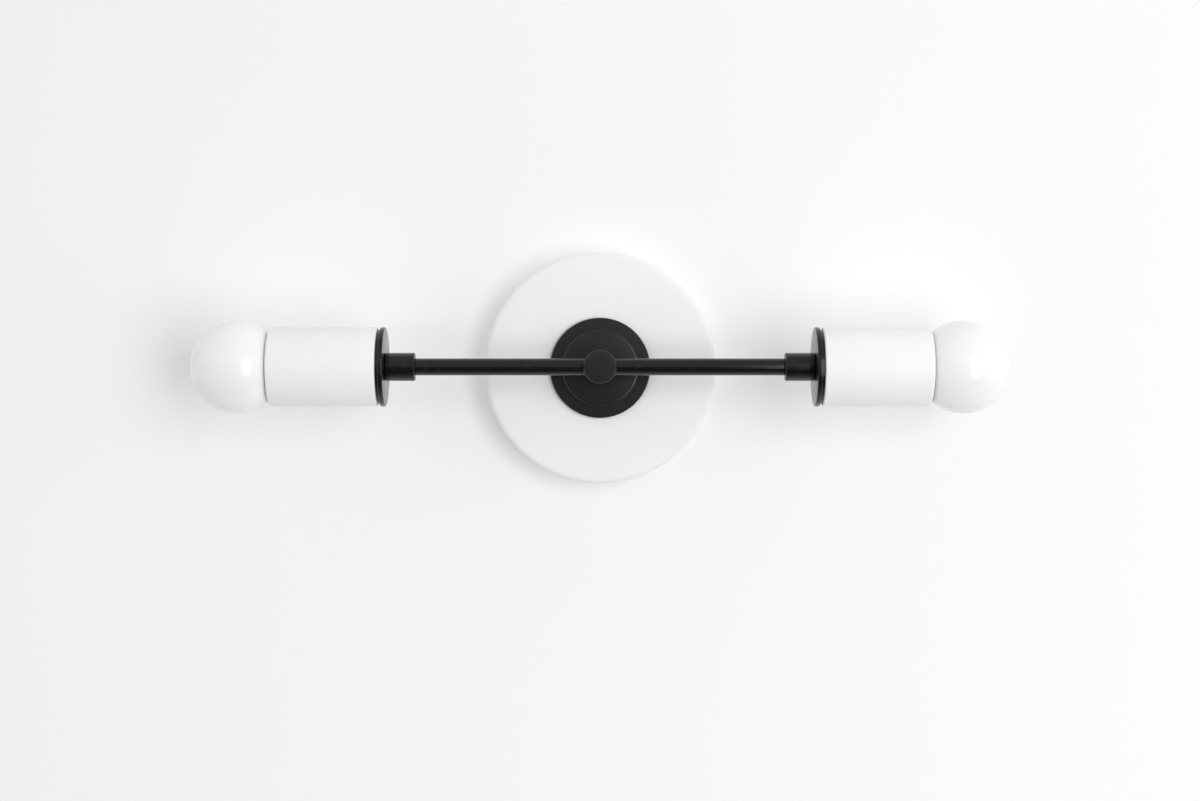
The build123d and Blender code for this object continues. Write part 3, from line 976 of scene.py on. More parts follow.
def threaded(start: float, end: float, radius: float, pitch: float, fade: float) -> list[Spot]:
    """Straight stretch of an outline with points close enough for a thread.

    Args:
        start: place where the stretch starts.
        end: place where it ends.
        radius: its radius over the crests.
        pitch: distance from crest to crest.
        fade: length over which the thread runs out at each end.

    Returns:
        The points, with the share of thread at each.
    """
    rows = max(2, round(abs(end - start) / pitch * ROWS_PER_PITCH))
    spots = []
    for row in range(rows + 1):
        along = start + (end - start) * row / rows
        inside = min(abs(along - start), abs(end - along))
        spots.append(Spot(along, radius, 0.0, min(1.0, inside / fade)))
    return spots


def lifted(spots: Sequence[Spot], cut: float) -> list[Spot]:
    """The same points, all with this share of the cut."""
    return [Spot(spot.along, spot.radius, spot.edge, cut) for spot in spots]


def finished_mesh(name: str, build: bmesh.types.BMesh) -> bpy.types.Object:
    """Object from a finished bmesh, smooth apart from its sharp edges.

    Args:
        name: name of the object.
        build: the mesh, which is freed.

    Returns:
        The object, linked to the scene.
    """
    bmesh.ops.recalc_face_normals(build, faces=build.faces)
    mesh = bpy.data.meshes.new(name)
    build.to_mesh(mesh)
    build.free()
    mesh.shade_smooth()
    mesh.set_sharp_from_angle(angle=SHARP_ANGLE)
    piece = bpy.data.objects.new(name, mesh)
    bpy.context.scene.collection.objects.link(piece)
    return piece


def spin(
    name: str,
    spots: Sequence[Spot],
    axis: Axis,
    closed: bool = True,
    cut: Optional[Cut] = None,
    segments: int = SEGMENTS,
) -> bpy.types.Object:
    """Piece turned about an axis.

    Args:
        name: name of the piece.
        spots: its outline.
        axis: the line that it is turned about.
        closed: whether the outline's last point joins its first.
        cut: thread, flats or flutes, applied where the outline has a cut.
        segments: number of flats round the axis.

    Returns:
        The piece.
    """
    build = bmesh.new()
    edge = build.verts.layers.float.new("edge")
    rings = []
    for spot in spots:
        ring = []
        for step in range(1 if spot.radius < TINY else segments):
            angle = FULL_TURN * step / segments
            along, radius = cut(spot, angle) if cut and spot.cut else (spot.along, spot.radius)
            vertex = build.verts.new(axis.point(along, radius, angle))
            vertex[edge] = spot.edge
            ring.append(vertex)
        rings.append(ring)
    followers = rings[1:] + rings[:1] if closed else rings[1:]
    for near, far in zip(rings, followers):
        for step in range(segments):
            after = step + 1
            around = [(near, step), (near, after), (far, after), (far, step)]
            corners = dict.fromkeys(ring[place % len(ring)] for ring, place in around)
            if len(corners) > 2:
                build.faces.new(corners)
    return finished_mesh(name, build)


def cross_bar(
    name: str, axis: Axis, low: float, high: float, length: float, width: float
) -> bpy.types.Object:
    """Cutter in the form of a cross, for a screw's recess.

    Args:
        name: name of the cutter.
        axis: the screw's axis.
        low: floor of the recess along the axis.
        high: a place above the screw's head.
        length: length of each bar.
        width: width of each bar.

    Returns:
        The cutter.
    """
    build = bmesh.new()
    arm = length / 2
    half = width / 2
    outline = []
    for quarter in range(4):
        turn = quarter * FULL_TURN / 4
        for across, forward in ((-half, arm), (half, arm), (half, half)):
            reach = math.hypot(across, forward)
            outline.append((reach, turn - math.atan2(across, forward)))
    floor = [
        build.verts.new(axis.point(low, reach * RECESS_TAPER, angle)) for reach, angle in outline
    ]
    top = [build.verts.new(axis.point(high, reach, angle)) for reach, angle in outline]
    build.faces.new(floor)
    build.faces.new(top)
    for index in range(len(outline)):
        after = (index + 1) % len(outline)
        build.faces.new((floor[index], floor[after], top[after], top[index]))
    return finished_mesh(name, build)


def carve(piece: bpy.types.Object, cutter: bpy.types.Object) -> None:
    """Cut one piece's form out of another and remove the cutter.

    Args:
        piece: the piece that is cut.
        cutter: the form that is taken away.
    """
    modifier = piece.modifiers.new("carve", "BOOLEAN")
    modifier.object = cutter
    modifier.solver = "MANIFOLD"
    bpy.context.view_layer.update()
    ready = piece.evaluated_get(bpy.context.evaluated_depsgraph_get())
    carved = bpy.data.meshes.new_from_object(ready)
    piece.modifiers.clear()
    piece.data = carved
    bpy.data.objects.remove(cutter)
    carved.set_sharp_from_angle(angle=SHARP_ANGLE)


def drill(piece: bpy.types.Object, axis: Axis, low: float, high: float, radius: float) -> None:
    """Bore a round hole in a piece.

    Args:
        piece: the piece that is bored.
        axis: the hole's line.
        low: where the hole starts along the line.
        high: where it ends.
        radius: its radius.
    """
    spots = [Spot(low, 0.0), Spot(low, radius), Spot(high, radius), Spot(high, 0.0)]
    carve(piece, spin("drill", spots, axis, closed=False))


@dataclass
class Made:
    """A piece, the CAD node it stands for, its finish and the body it rides on."""

    piece: bpy.types.Object
    node: Optional[str]
    finish: Finish
    body: str


@dataclass
class SubAssembly:
    """Pieces that are built and dressed together."""

    made: list[Made] = field(default_factory=list, init=False)

    def add(
        self, piece: bpy.types.Object, node: str, finish: Finish, body: str = Body.FIXTURE.of()
    ) -> None:
        """Note a new piece that stands for a CAD node."""
        self.made.append(Made(piece, node, finish, body))

    def keep(self, node: str, finish: Finish) -> None:
        """Note a CAD node that stays and gets a finish."""
        self.made.append(Made(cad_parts[node], None, finish, ""))

    def build(self) -> None:
        """Make the meshes."""
        raise NotImplementedError

    def dress(self) -> None:
        """Give each piece its finish and, for a new piece, hide its CAD node and hang it on its body.
        """
        for made in self.made:
            made.finish.dress(made.piece)
            if made.node is not None:
                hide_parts(made.node)
                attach(made.piece, made.body)
            LOG.info("%s in %s", made.piece.name, made.finish.slot)


@dataclass
class PipeHardware:
    """Threaded pipe and the nuts and washers on it."""

    pitch: float = 25.4 / 27 * MM
    thread_depth: float = 0.5 * MM
    bore: float = 3.3 * MM
    hole: float = PIPE_HOLE
    nut_flats: float = 14.3 * MM
    nut_bevel: float = 0.8 * MM
    teeth: int = 14
    tooth_depth: float = 1.5 * MM
    tooth_twist: float = 0.34 * MM
    tooth_root: float = 0.3 * MM
    pipe_segments: int = 56

    def fit(self, assembly: SubAssembly, axis: Axis, nipple: str, washer: str, nut: str) -> None:
        """Add a pipe, its lock washer and its nut to a sub-assembly.

        Args:
            assembly: the sub-assembly that they belong to.
            axis: the pipe's line.
            nipple: CAD node of the pipe.
            washer: CAD node of the washer.
            nut: CAD node of the nut.
        """
        for node, make in ((nipple, self.nipple), (washer, self.washer), (nut, self.nut)):
            assembly.add(make(node, axis), node, ZINC_STEEL)

    def nipple(self, node: str, axis: Axis) -> bpy.types.Object:
        """Threaded pipe in the place of a CAD node.

        Args:
            node: the CAD node that it stands for.
            axis: the pipe's line.

        Returns:
            The pipe.
        """
        span = axis.span(node)
        lead_in = self.thread_depth
        outside = threaded(
            span.start + lead_in, span.end - lead_in, span.radius, self.pitch, self.pitch
        )
        root = span.radius - self.thread_depth
        spots = [Spot(span.start, self.bore), Spot(span.start, root), *outside]
        spots += [Spot(span.end, root), Spot(span.end, self.bore)]
        cut = Thread(self.pitch, self.thread_depth)
        return spin(f"{node}_threaded", spots, axis, cut=cut, segments=self.pipe_segments)

    def nut(self, node: str, axis: Axis) -> bpy.types.Object:
        """Six-sided nut with its corners turned off on both faces.

        Args:
            node: the CAD node that it stands for.
            axis: the pipe's line.

        Returns:
            The nut.
        """
        span = axis.span(node)
        corner = span.radius
        inside = self.nut_flats / 2
        slope = self.nut_bevel
        corners = [
            Corner(span.start, self.hole),
            Corner(span.start, inside),
            Corner(span.start + slope, corner),
            Corner(span.end - slope, corner),
            Corner(span.end, inside),
            Corner(span.end, self.hole),
        ]
        spots = lifted(rounded(corners), 1.0)
        cut = HexFlats(self.nut_flats)
        return spin(f"{node}_six_sided", spots, axis, cut=cut, segments=NUT_SEGMENTS)

    def washer(self, node: str, axis: Axis) -> bpy.types.Object:
        """Lock washer with twisted teeth round its rim.

        Args:
            node: the CAD node that it stands for.
            axis: the pipe's line.

        Returns:
            The washer.
        """
        span = axis.span(node)
        room = self.tooth_twist / 2
        low = span.start + room
        high = span.end - room
        rim = span.radius
        root = rim - self.tooth_depth - self.tooth_root
        corners = [
            Corner(low, self.hole, METAL_EDGE),
            Corner(low, root),
            Corner(low, rim),
            Corner(high, rim),
            Corner(high, root),
            Corner(high, self.hole, METAL_EDGE),
        ]
        spots = [
            Spot(spot.along, spot.radius, spot.edge, 1.0 if spot.radius > root + TINY else 0.0)
            for spot in rounded(corners)
        ]
        cut = LockTeeth(self.teeth, self.tooth_depth, self.tooth_twist)
        segments = self.teeth * STEPS_PER_TOOTH
        return spin(f"{node}_toothed", spots, axis, cut=cut, segments=segments)


PIPE_HARDWARE = PipeHardware()


@dataclass
class WallCanopy(SubAssembly):
    """White dish on the wall with its strap, screws and ground lead."""

    axis: Axis
    sheet: float = 1.2 * MM
    front_round: float = 3.0 * MM
    inside_round: float = 1.8 * MM
    rim_round: float = 0.4 * MM
    pipe_hole: float = PIPE_HOLE
    screw_head: float = 2.2 * MM
    screw_dome: float = 1.5 * MM
    screw_shank: float = 2.0 * MM
    screw_shank_l: float = 6.1 * MM
    screw_gap: float = 0.2 * MM
    screw_pitch: float = 0.8 * MM
    screw_thread: float = 0.4 * MM
    recess_length: float = 3.8 * MM
    recess_width: float = 0.9 * MM
    recess_depth: float = 1.4 * MM
    ground_head: float = 2.6 * MM
    ground_shank: float = 2.3 * MM
    ground_step: float = 0.35
    ground_crown: float = 0.78
    ground_round: float = 0.6 * MM
    near_lug_reach: float = 14.6 * MM
    far_lug_reach: float = 10.65 * MM

    def build(self) -> None:
        """Make the dish and the screws, and keep the strap and the ground lead."""
        self.add(self.dish(), "canopy", WHITE_PAINT)
        for side in Side:
            self.add(self.side_screw(side), "canopy_side_screws", WHITE_PAINT)
        self.add(self.ground_screw(), "ground_screw", GREEN_METAL)
        self.keep("wall_bracket", ZINC_STEEL)
        self.keep("ground_lead", self.lead_finish())

    def dish(self) -> bpy.types.Object:
        """Spun dish, open at the wall, with a rolled front edge.

        Returns:
            The dish.
        """
        span = self.axis.span("canopy")
        outer = span.radius
        inner = outer - self.sheet
        floor = span.end - self.sheet
        corners = [
            Corner(span.start, outer, self.rim_round),
            Corner(span.end, outer, self.front_round),
            Corner(span.end, self.pipe_hole, PAINT_EDGE),
            Corner(floor, self.pipe_hole, PAINT_EDGE),
            Corner(floor, inner, self.inside_round),
            Corner(span.start, inner, self.rim_round),
        ]
        piece = spin("canopy_spun", rounded(corners), self.axis, segments=FINE_SEGMENTS)
        for side in Side:
            hole = self.screw_shank + self.screw_gap
            drill(piece, self.screw_axis(side), inner - self.sheet, outer + self.sheet, hole)
        return piece

    def screw_axis(self, side: Side) -> Axis:
        """Line of the screw in one side of the dish."""
        return Axis(middle_of("canopy_side_screws"), Vector((side.value, 0, 0)), UPWARD)

    def screw(
        self, name: str, axis: Axis, shank: Span, head: Sequence[Corner]
    ) -> bpy.types.Object:
        """Threaded screw with a cross in its head.

        Args:
            name: name of the screw.
            axis: its line.
            shank: start, end and radius of its threaded part.
            head: corners of its head, from the seat to the top.

        Returns:
            The screw.
        """
        pitch = self.screw_pitch
        top = head[-1].along
        outline = [Corner(shank.end, shank.radius), *head, Corner(top, 0.0)]
        spots = [Spot(shank.start, 0.0)]
        spots += threaded(shank.start, shank.end, shank.radius, pitch, pitch)
        spots += rounded(outline, closed=False)[1:]
        cut = Thread(pitch, self.screw_thread)
        piece = spin(name, spots, axis, closed=False, cut=cut, segments=SCREW_SEGMENTS)
        low = top - self.recess_depth
        high = top + self.recess_depth
        carve(piece, cross_bar("recess", axis, low, high, self.recess_length, self.recess_width))
        return piece

    def side_screw(self, side: Side) -> bpy.types.Object:
        """Dome-headed screw in one side of the dish.

        Args:
            side: the side that it is in.

        Returns:
            The screw.
        """
        axis = self.screw_axis(side)
        span = axis.span("canopy_side_screws")
        seat = span.end - self.screw_head
        shank = Span(seat - self.screw_shank_l, seat, self.screw_shank)
        head = [
            Corner(seat, span.radius, METAL_EDGE),
            Corner(span.end, span.radius, self.screw_dome),
        ]
        return self.screw(f"{side.label}_side_screw", axis, shank, head)

    def ground_screw(self) -> bpy.types.Object:
        """Washer-headed screw in the strap.

        Returns:
            The screw.
        """
        middle = middle_of("ground_screw")
        axis = Axis(Vector((middle.x, 0, middle.z)), self.axis.out, self.axis.up)
        span = axis.span("ground_screw")
        seat = span.end - self.ground_head
        step = seat + self.ground_head * self.ground_step
        crown = span.radius * self.ground_crown
        head = [
            Corner(seat, span.radius, METAL_EDGE),
            Corner(step, span.radius, METAL_EDGE),
            Corner(step, crown, METAL_EDGE),
            Corner(span.end, crown, self.ground_round),
        ]
        shank = Span(span.start, seat, self.ground_shank)
        return self.screw("ground_screw_turned", axis, shank, head)

    def lead_finish(self) -> LuggedLead:
        """Finish of the ground lead, with metal at its two eyes.

        Returns:
            The finish.
        """
        nut_low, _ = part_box("centre_lock_nut")
        near = Vector((0, nut_low.y, 0))
        screw = middle_of("ground_screw")
        far = Vector((screw.x, 0, screw.z)) + self.axis.out * self.sheet
        ends = ((near, self.near_lug_reach), (far, self.far_lug_reach))
        return LuggedLead("green_insulation", GREEN_INSULATION, ZINC_STEEL, ends)


@dataclass
class CentreStack(SubAssembly):
    """Black plate, disc, neck and hub on the canopy, and the hardware behind them."""

    axis: Axis
    pipe_hole: float = PIPE_HOLE
    plate_bevel: float = 0.5 * MM
    disc_round: float = 1.0 * MM
    neck_bevel: float = 0.5 * MM
    hub_front_bevel: float = 0.8 * MM
    hub_back_bevel: float = 0.4 * MM
    hub_pipe_bore: float = PIPE_FIT
    hub_tube_gap: float = 0.05 * MM
    nut_bore: float = 2.7 * MM
    nut_bore_l: float = 11.0 * MM
    nut_skirt: float = 4.0 * MM
    nut_top_round: float = 1.0 * MM
    nut_top_bend: float = 0.7 * MM
    nut_lip_round: float = 0.4 * MM
    nut_taper: float = 0.64
    flutes: int = 12
    flute_depth: float = 0.5 * MM
    flute_rows: int = 12
    flute_fade: int = 2

    def build(self) -> None:
        """Make every piece of the stack."""
        self.add(self.plate(), "backing_plate", MATT_BLACK)
        self.add(self.disc(), "centre_disc", MATT_BLACK)
        self.add(self.neck(), "neck", MATT_BLACK)
        self.add(self.hub(), "hub", MATT_BLACK)
        pipe_nodes = ("centre_nipple", "centre_lock_washer", "centre_lock_nut")
        PIPE_HARDWARE.fit(self, self.axis, *pipe_nodes)
        for node, up in (("hot_wire_nut", 1), ("neutral_wire_nut", -1)):
            self.add(self.wire_nut(node, up), node, WIRE_NUT_PLASTIC)

    def plate(self) -> bpy.types.Object:
        """Flat round plate with a bevelled front edge.

        Returns:
            The plate.
        """
        span = self.axis.span("backing_plate")
        corners = [
            Corner(span.start, span.radius, PAINT_EDGE),
            Corner(span.end - self.plate_bevel, span.radius, PAINT_EDGE),
            Corner(span.end, span.radius - self.plate_bevel, PAINT_EDGE),
            Corner(span.end, self.pipe_hole),
            Corner(span.start, self.pipe_hole),
        ]
        return spin("backing_plate_turned", rounded(corners), self.axis, segments=FINE_SEGMENTS)

    def disc(self) -> bpy.types.Object:
        """Thicker disc with a rounded front edge.

        Returns:
            The disc.
        """
        span = self.axis.span("centre_disc")
        corners = [
            Corner(span.start, span.radius, PAINT_EDGE),
            Corner(span.end, span.radius, self.disc_round),
            Corner(span.end, self.pipe_hole),
            Corner(span.start, self.pipe_hole),
        ]
        return spin("centre_disc_turned", rounded(corners), self.axis, segments=FINE_SEGMENTS)

    def neck(self) -> bpy.types.Object:
        """Sleeve that holds the hub off the disc.

        Returns:
            The sleeve.
        """
        span = self.axis.span("neck")
        bevel = self.neck_bevel
        corners = [
            Corner(span.start, span.radius - bevel, PAINT_EDGE),
            Corner(span.start + bevel, span.radius, PAINT_EDGE),
            Corner(span.end - bevel, span.radius, PAINT_EDGE),
            Corner(span.end, span.radius - bevel, PAINT_EDGE),
            Corner(span.end, self.pipe_hole),
            Corner(span.start, self.pipe_hole),
        ]
        return spin("neck_turned", rounded(corners), self.axis)

    def hub(self) -> bpy.types.Object:
        """Round post with a flat, bevelled face, bored for the pipe and across for the tubes.

        Returns:
            The post.
        """
        span = self.axis.span("hub")
        corners = [
            Corner(span.start, 0.0),
            Corner(span.start, span.radius - self.hub_back_bevel, PAINT_EDGE),
            Corner(span.start + self.hub_back_bevel, span.radius, PAINT_EDGE),
            Corner(span.end - self.hub_front_bevel, span.radius, PAINT_EDGE),
            Corner(span.end, span.radius - self.hub_front_bevel, PAINT_EDGE),
            Corner(span.end, 0.0),
        ]
        piece = spin("hub_turned", rounded(corners, closed=False), self.axis, closed=False)
        across = arm_axis(Side.RIGHT)
        standoff = (across.origin - self.axis.origin).dot(self.axis.out)
        drill(piece, self.axis, span.start - self.hub_back_bevel, standoff, self.hub_pipe_bore)
        reach = span.radius + self.hub_front_bevel
        tube = across.span("right_arm_tube").radius
        drill(piece, across, -reach, reach, tube + self.hub_tube_gap)
        return piece

    def wire_nut(self, node: str, up: int) -> bpy.types.Object:
        """Fluted twist-on cap with a plain skirt.

        Args:
            node: the CAD node that it stands for.
            up: 1 where it points up and -1 where it points down.

        Returns:
            The cap.
        """
        middle = middle_of(node)
        axis = Axis(Vector((middle.x, middle.y, 0)), UPWARD * up, FORWARD)
        span = axis.span(node)
        top = span.radius * self.nut_taper
        slope = (span.radius - top) / (span.end - span.start)
        skirt = span.start + self.nut_skirt
        grooves_end = span.end - self.nut_top_round
        rows = self.flute_rows
        grooves = []
        for row in range(rows + 1):
            along = skirt + (grooves_end - skirt) * row / rows
            deep = min(1.0, min(row, rows - row) / self.flute_fade)
            grooves.append(Spot(along, span.radius - slope * (along - span.start), 0.0, deep))
        lip = [
            Corner(span.start, self.nut_bore),
            Corner(span.start, span.radius, self.nut_lip_round),
            Corner(skirt, span.radius - slope * self.nut_skirt),
        ]
        crown = [
            Corner(grooves_end, top + slope * self.nut_top_round),
            Corner(span.end, top, self.nut_top_bend),
            Corner(span.end, 0.0),
        ]
        bore_end = span.start + self.nut_bore_l
        spots = [Spot(bore_end, 0.0), Spot(bore_end, self.nut_bore)]
        spots += rounded(lip, closed=False)[:-1] + grooves + rounded(crown, closed=False)[1:]
        cut = Flutes(self.flutes, self.flute_depth)
        segments = self.flutes * STEPS_PER_FLUTE
        return spin(f"{node}_fluted", spots, axis, closed=False, cut=cut, segments=segments)


@dataclass
class ArmAssembly(SubAssembly):
    """Pieces on one arm, turned about its line."""

    axis: Axis
    side: Side

    def node(self, piece: str) -> str:
        """CAD node of a piece on this arm."""
        return f"{self.side.label}_{piece}"


@dataclass
class Arm(ArmAssembly):
    """Tube, coupler, stepped disc and cup on one side."""

    tube_wall: float = 1.3 * MM
    coupler_bevel: float = 0.5 * MM
    flange: float = 2.7 * MM
    flange_round: float = 0.6 * MM
    step_inset: float = 1.3 * MM
    step_bevel: float = 0.3 * MM
    pipe_hole: float = PIPE_HOLE
    cup_wall: float = 2.6 * MM
    cup_base: float = 1.5 * MM
    cup_base_round: float = 1.2 * MM
    cup_inside_round: float = 0.8 * MM
    cup_lip_round: float = 1.5 * MM
    cup_lip_inside_round: float = 0.6 * MM

    def build(self) -> None:
        """Make every piece of the arm."""
        self.add(self.tube(), self.node("arm_tube"), SATIN_BLACK)
        self.add(self.coupler(), self.node("coupler"), SATIN_BLACK)
        self.add(self.socket_plate(), self.node("socket_plate"), SATIN_BLACK)
        self.add(self.cup(), self.node("cup"), WHITE_PAINT)

    def tube(self) -> bpy.types.Object:
        """Thin tube with its ends broken.

        Returns:
            The tube.
        """
        node = self.node("arm_tube")
        span = self.axis.span(node)
        bore = span.radius - self.tube_wall
        corners = [
            Corner(span.start, span.radius, PAINT_EDGE),
            Corner(span.end, span.radius, PAINT_EDGE),
            Corner(span.end, bore),
            Corner(span.start, bore),
        ]
        return spin(f"{node}_drawn", rounded(corners), self.axis)

    def coupler(self) -> bpy.types.Object:
        """Sleeve with both ends bevelled.

        Returns:
            The sleeve.
        """
        node = self.node("coupler")
        span = self.axis.span(node)
        bore = self.axis.span(self.node("arm_tube")).radius
        bevel = self.coupler_bevel
        corners = [
            Corner(span.start, span.radius - bevel, PAINT_EDGE),
            Corner(span.start + bevel, span.radius, PAINT_EDGE),
            Corner(span.end - bevel, span.radius, PAINT_EDGE),
            Corner(span.end, span.radius - bevel, PAINT_EDGE),
            Corner(span.end, bore),
            Corner(span.start, bore, PAINT_EDGE),
        ]
        return spin(f"{node}_turned", rounded(corners), self.axis)

    def socket_plate(self) -> bpy.types.Object:
        """Wide flange with a smaller step towards the cup.

        Returns:
            The stepped disc.
        """
        node = self.node("socket_plate")
        span = self.axis.span(node)
        shoulder = span.start + self.flange
        step = span.radius - self.step_inset
        corners = [
            Corner(span.start, span.radius, self.flange_round),
            Corner(shoulder, span.radius, self.flange_round),
            Corner(shoulder, step, PAINT_EDGE),
            Corner(span.end - self.step_bevel, step, PAINT_EDGE),
            Corner(span.end, step - self.step_bevel, PAINT_EDGE),
            Corner(span.end, self.pipe_hole),
            Corner(span.start, self.pipe_hole),
        ]
        return spin(f"{node}_turned", rounded(corners), self.axis, segments=FINE_SEGMENTS)

    def cup(self) -> bpy.types.Object:
        """Round cup with a soft base edge and a rounded lip.

        Returns:
            The cup.
        """
        node = self.node("cup")
        span = self.axis.span(node)
        inner = span.radius - self.cup_wall
        floor = span.start + self.cup_base
        corners = [
            Corner(span.start, self.pipe_hole),
            Corner(span.start, span.radius, self.cup_base_round),
            Corner(span.end, span.radius, self.cup_lip_round),
            Corner(span.end, inner, self.cup_lip_inside_round),
            Corner(floor, inner, self.cup_inside_round),
            Corner(floor, self.pipe_hole),
        ]
        return spin(f"{node}_spun", rounded(corners), self.axis, segments=FINE_SEGMENTS)


@dataclass(frozen=True)
class LampThread:
    """Thread that the bulb's cap and the socket's shell share."""

    pitch: float = 25.4 / 7 * MM
    depth: float = 0.72 * MM
    fade: float = 1.2 * MM

    def cut(self) -> Thread:
        """The thread's form."""
        return Thread(self.pitch, self.depth)


LAMP_THREAD = LampThread()


@dataclass
class LampSocket(ArmAssembly):
    """Porcelain socket inside the cup, with its screw shell, contacts, pipe and leads."""

    cap_sheet: float = 0.8 * MM
    cap_bend: float = 0.3 * MM
    bushing: float = 6.85 * MM
    bushing_l: float = 4.5 * MM
    pipe_hole: float = PIPE_FIT
    wall: float = 3.4 * MM
    floor: float = 4.0 * MM
    mouth_bevel: float = 0.8 * MM
    spigot_inset: float = 1.65 * MM
    spigot_l: float = 4.4 * MM
    spigot_wall: float = 3.6 * MM
    glaze_round: float = 0.5 * MM
    shell_sheet: float = 0.45 * MM
    shell_eye: float = 5.0 * MM

    def build(self) -> None:
        """Make the turned pieces, and keep the leads, the leaf and the rivets."""
        pipe_pieces = ("socket_nipple", "cup_lock_washer", "cup_lock_nut")
        PIPE_HARDWARE.fit(self, self.axis, *map(self.node, pipe_pieces))
        self.add(self.cap(), self.node("socket_cap"), ZINC_STEEL)
        self.add(self.porcelain(), self.node("socket_body"), PORCELAIN)
        self.add(self.shell(), self.node("screw_shell"), BRASS)
        self.keep(self.node("contact_spring"), BRASS)
        self.keep(self.node("socket_rivets"), BRASS)
        self.keep(self.node("hot_lead"), BLACK_INSULATION)
        self.keep(self.node("neutral_lead"), WHITE_INSULATION)

    def cap(self) -> bpy.types.Object:
        """Drawn sheet cap with a bushing on the pipe.

        Returns:
            The cap.
        """
        node = self.node("socket_cap")
        span = self.axis.span(node)
        back = span.start + self.bushing_l
        inner = span.radius - self.cap_sheet
        corners = [
            Corner(span.start, self.pipe_hole, METAL_EDGE),
            Corner(span.start, self.bushing, METAL_EDGE),
            Corner(back, self.bushing, self.cap_bend),
            Corner(back, span.radius, self.cap_sheet),
            Corner(span.end, span.radius, METAL_EDGE),
            Corner(span.end, inner, METAL_EDGE),
            Corner(back + self.cap_sheet, inner, self.cap_bend),
            Corner(back + self.cap_sheet, self.pipe_hole, METAL_EDGE),
        ]
        return spin(f"{node}_drawn", rounded(corners), self.axis)

    def porcelain(self) -> bpy.types.Object:
        """Porcelain cup with a hollow spigot at its back.

        Returns:
            The socket's body.
        """
        node = self.node("socket_body")
        span = self.axis.span(node)
        back = span.start + self.spigot_l
        floor = back + self.floor
        bore = span.radius - self.wall
        spigot = span.radius - self.spigot_inset
        hollow = spigot - self.spigot_wall
        soft = self.glaze_round
        corners = [
            Corner(floor, 0.0),
            Corner(floor, bore, soft),
            Corner(span.end, bore, soft),
            Corner(span.end, span.radius - self.mouth_bevel, soft),
            Corner(span.end - self.mouth_bevel, span.radius, soft),
            Corner(back, span.radius, soft),
            Corner(back, spigot, METAL_EDGE),
            Corner(span.start, spigot, soft),
            Corner(span.start, hollow, soft),
            Corner(back, hollow, soft),
            Corner(back, 0.0),
        ]
        return spin(f"{node}_fired", rounded(corners, closed=False), self.axis, closed=False)

    def shell(self) -> bpy.types.Object:
        """Rolled brass sleeve with the lamp thread, and an eye at its foot.

        Returns:
            The sleeve.
        """
        node = self.node("screw_shell")
        span = self.axis.span(node)
        thread = LAMP_THREAD
        foot = span.start + self.shell_sheet
        outside = threaded(foot, span.end, span.radius, thread.pitch, thread.fade)
        inner = span.radius - self.shell_sheet
        inside = threaded(span.end, foot, inner, thread.pitch, thread.fade)
        spots = [Spot(span.start, self.shell_eye), Spot(span.start, span.radius), *outside]
        spots += [*inside, Spot(foot, self.shell_eye)]
        return spin(f"{node}_rolled", spots, self.axis, cut=thread.cut())


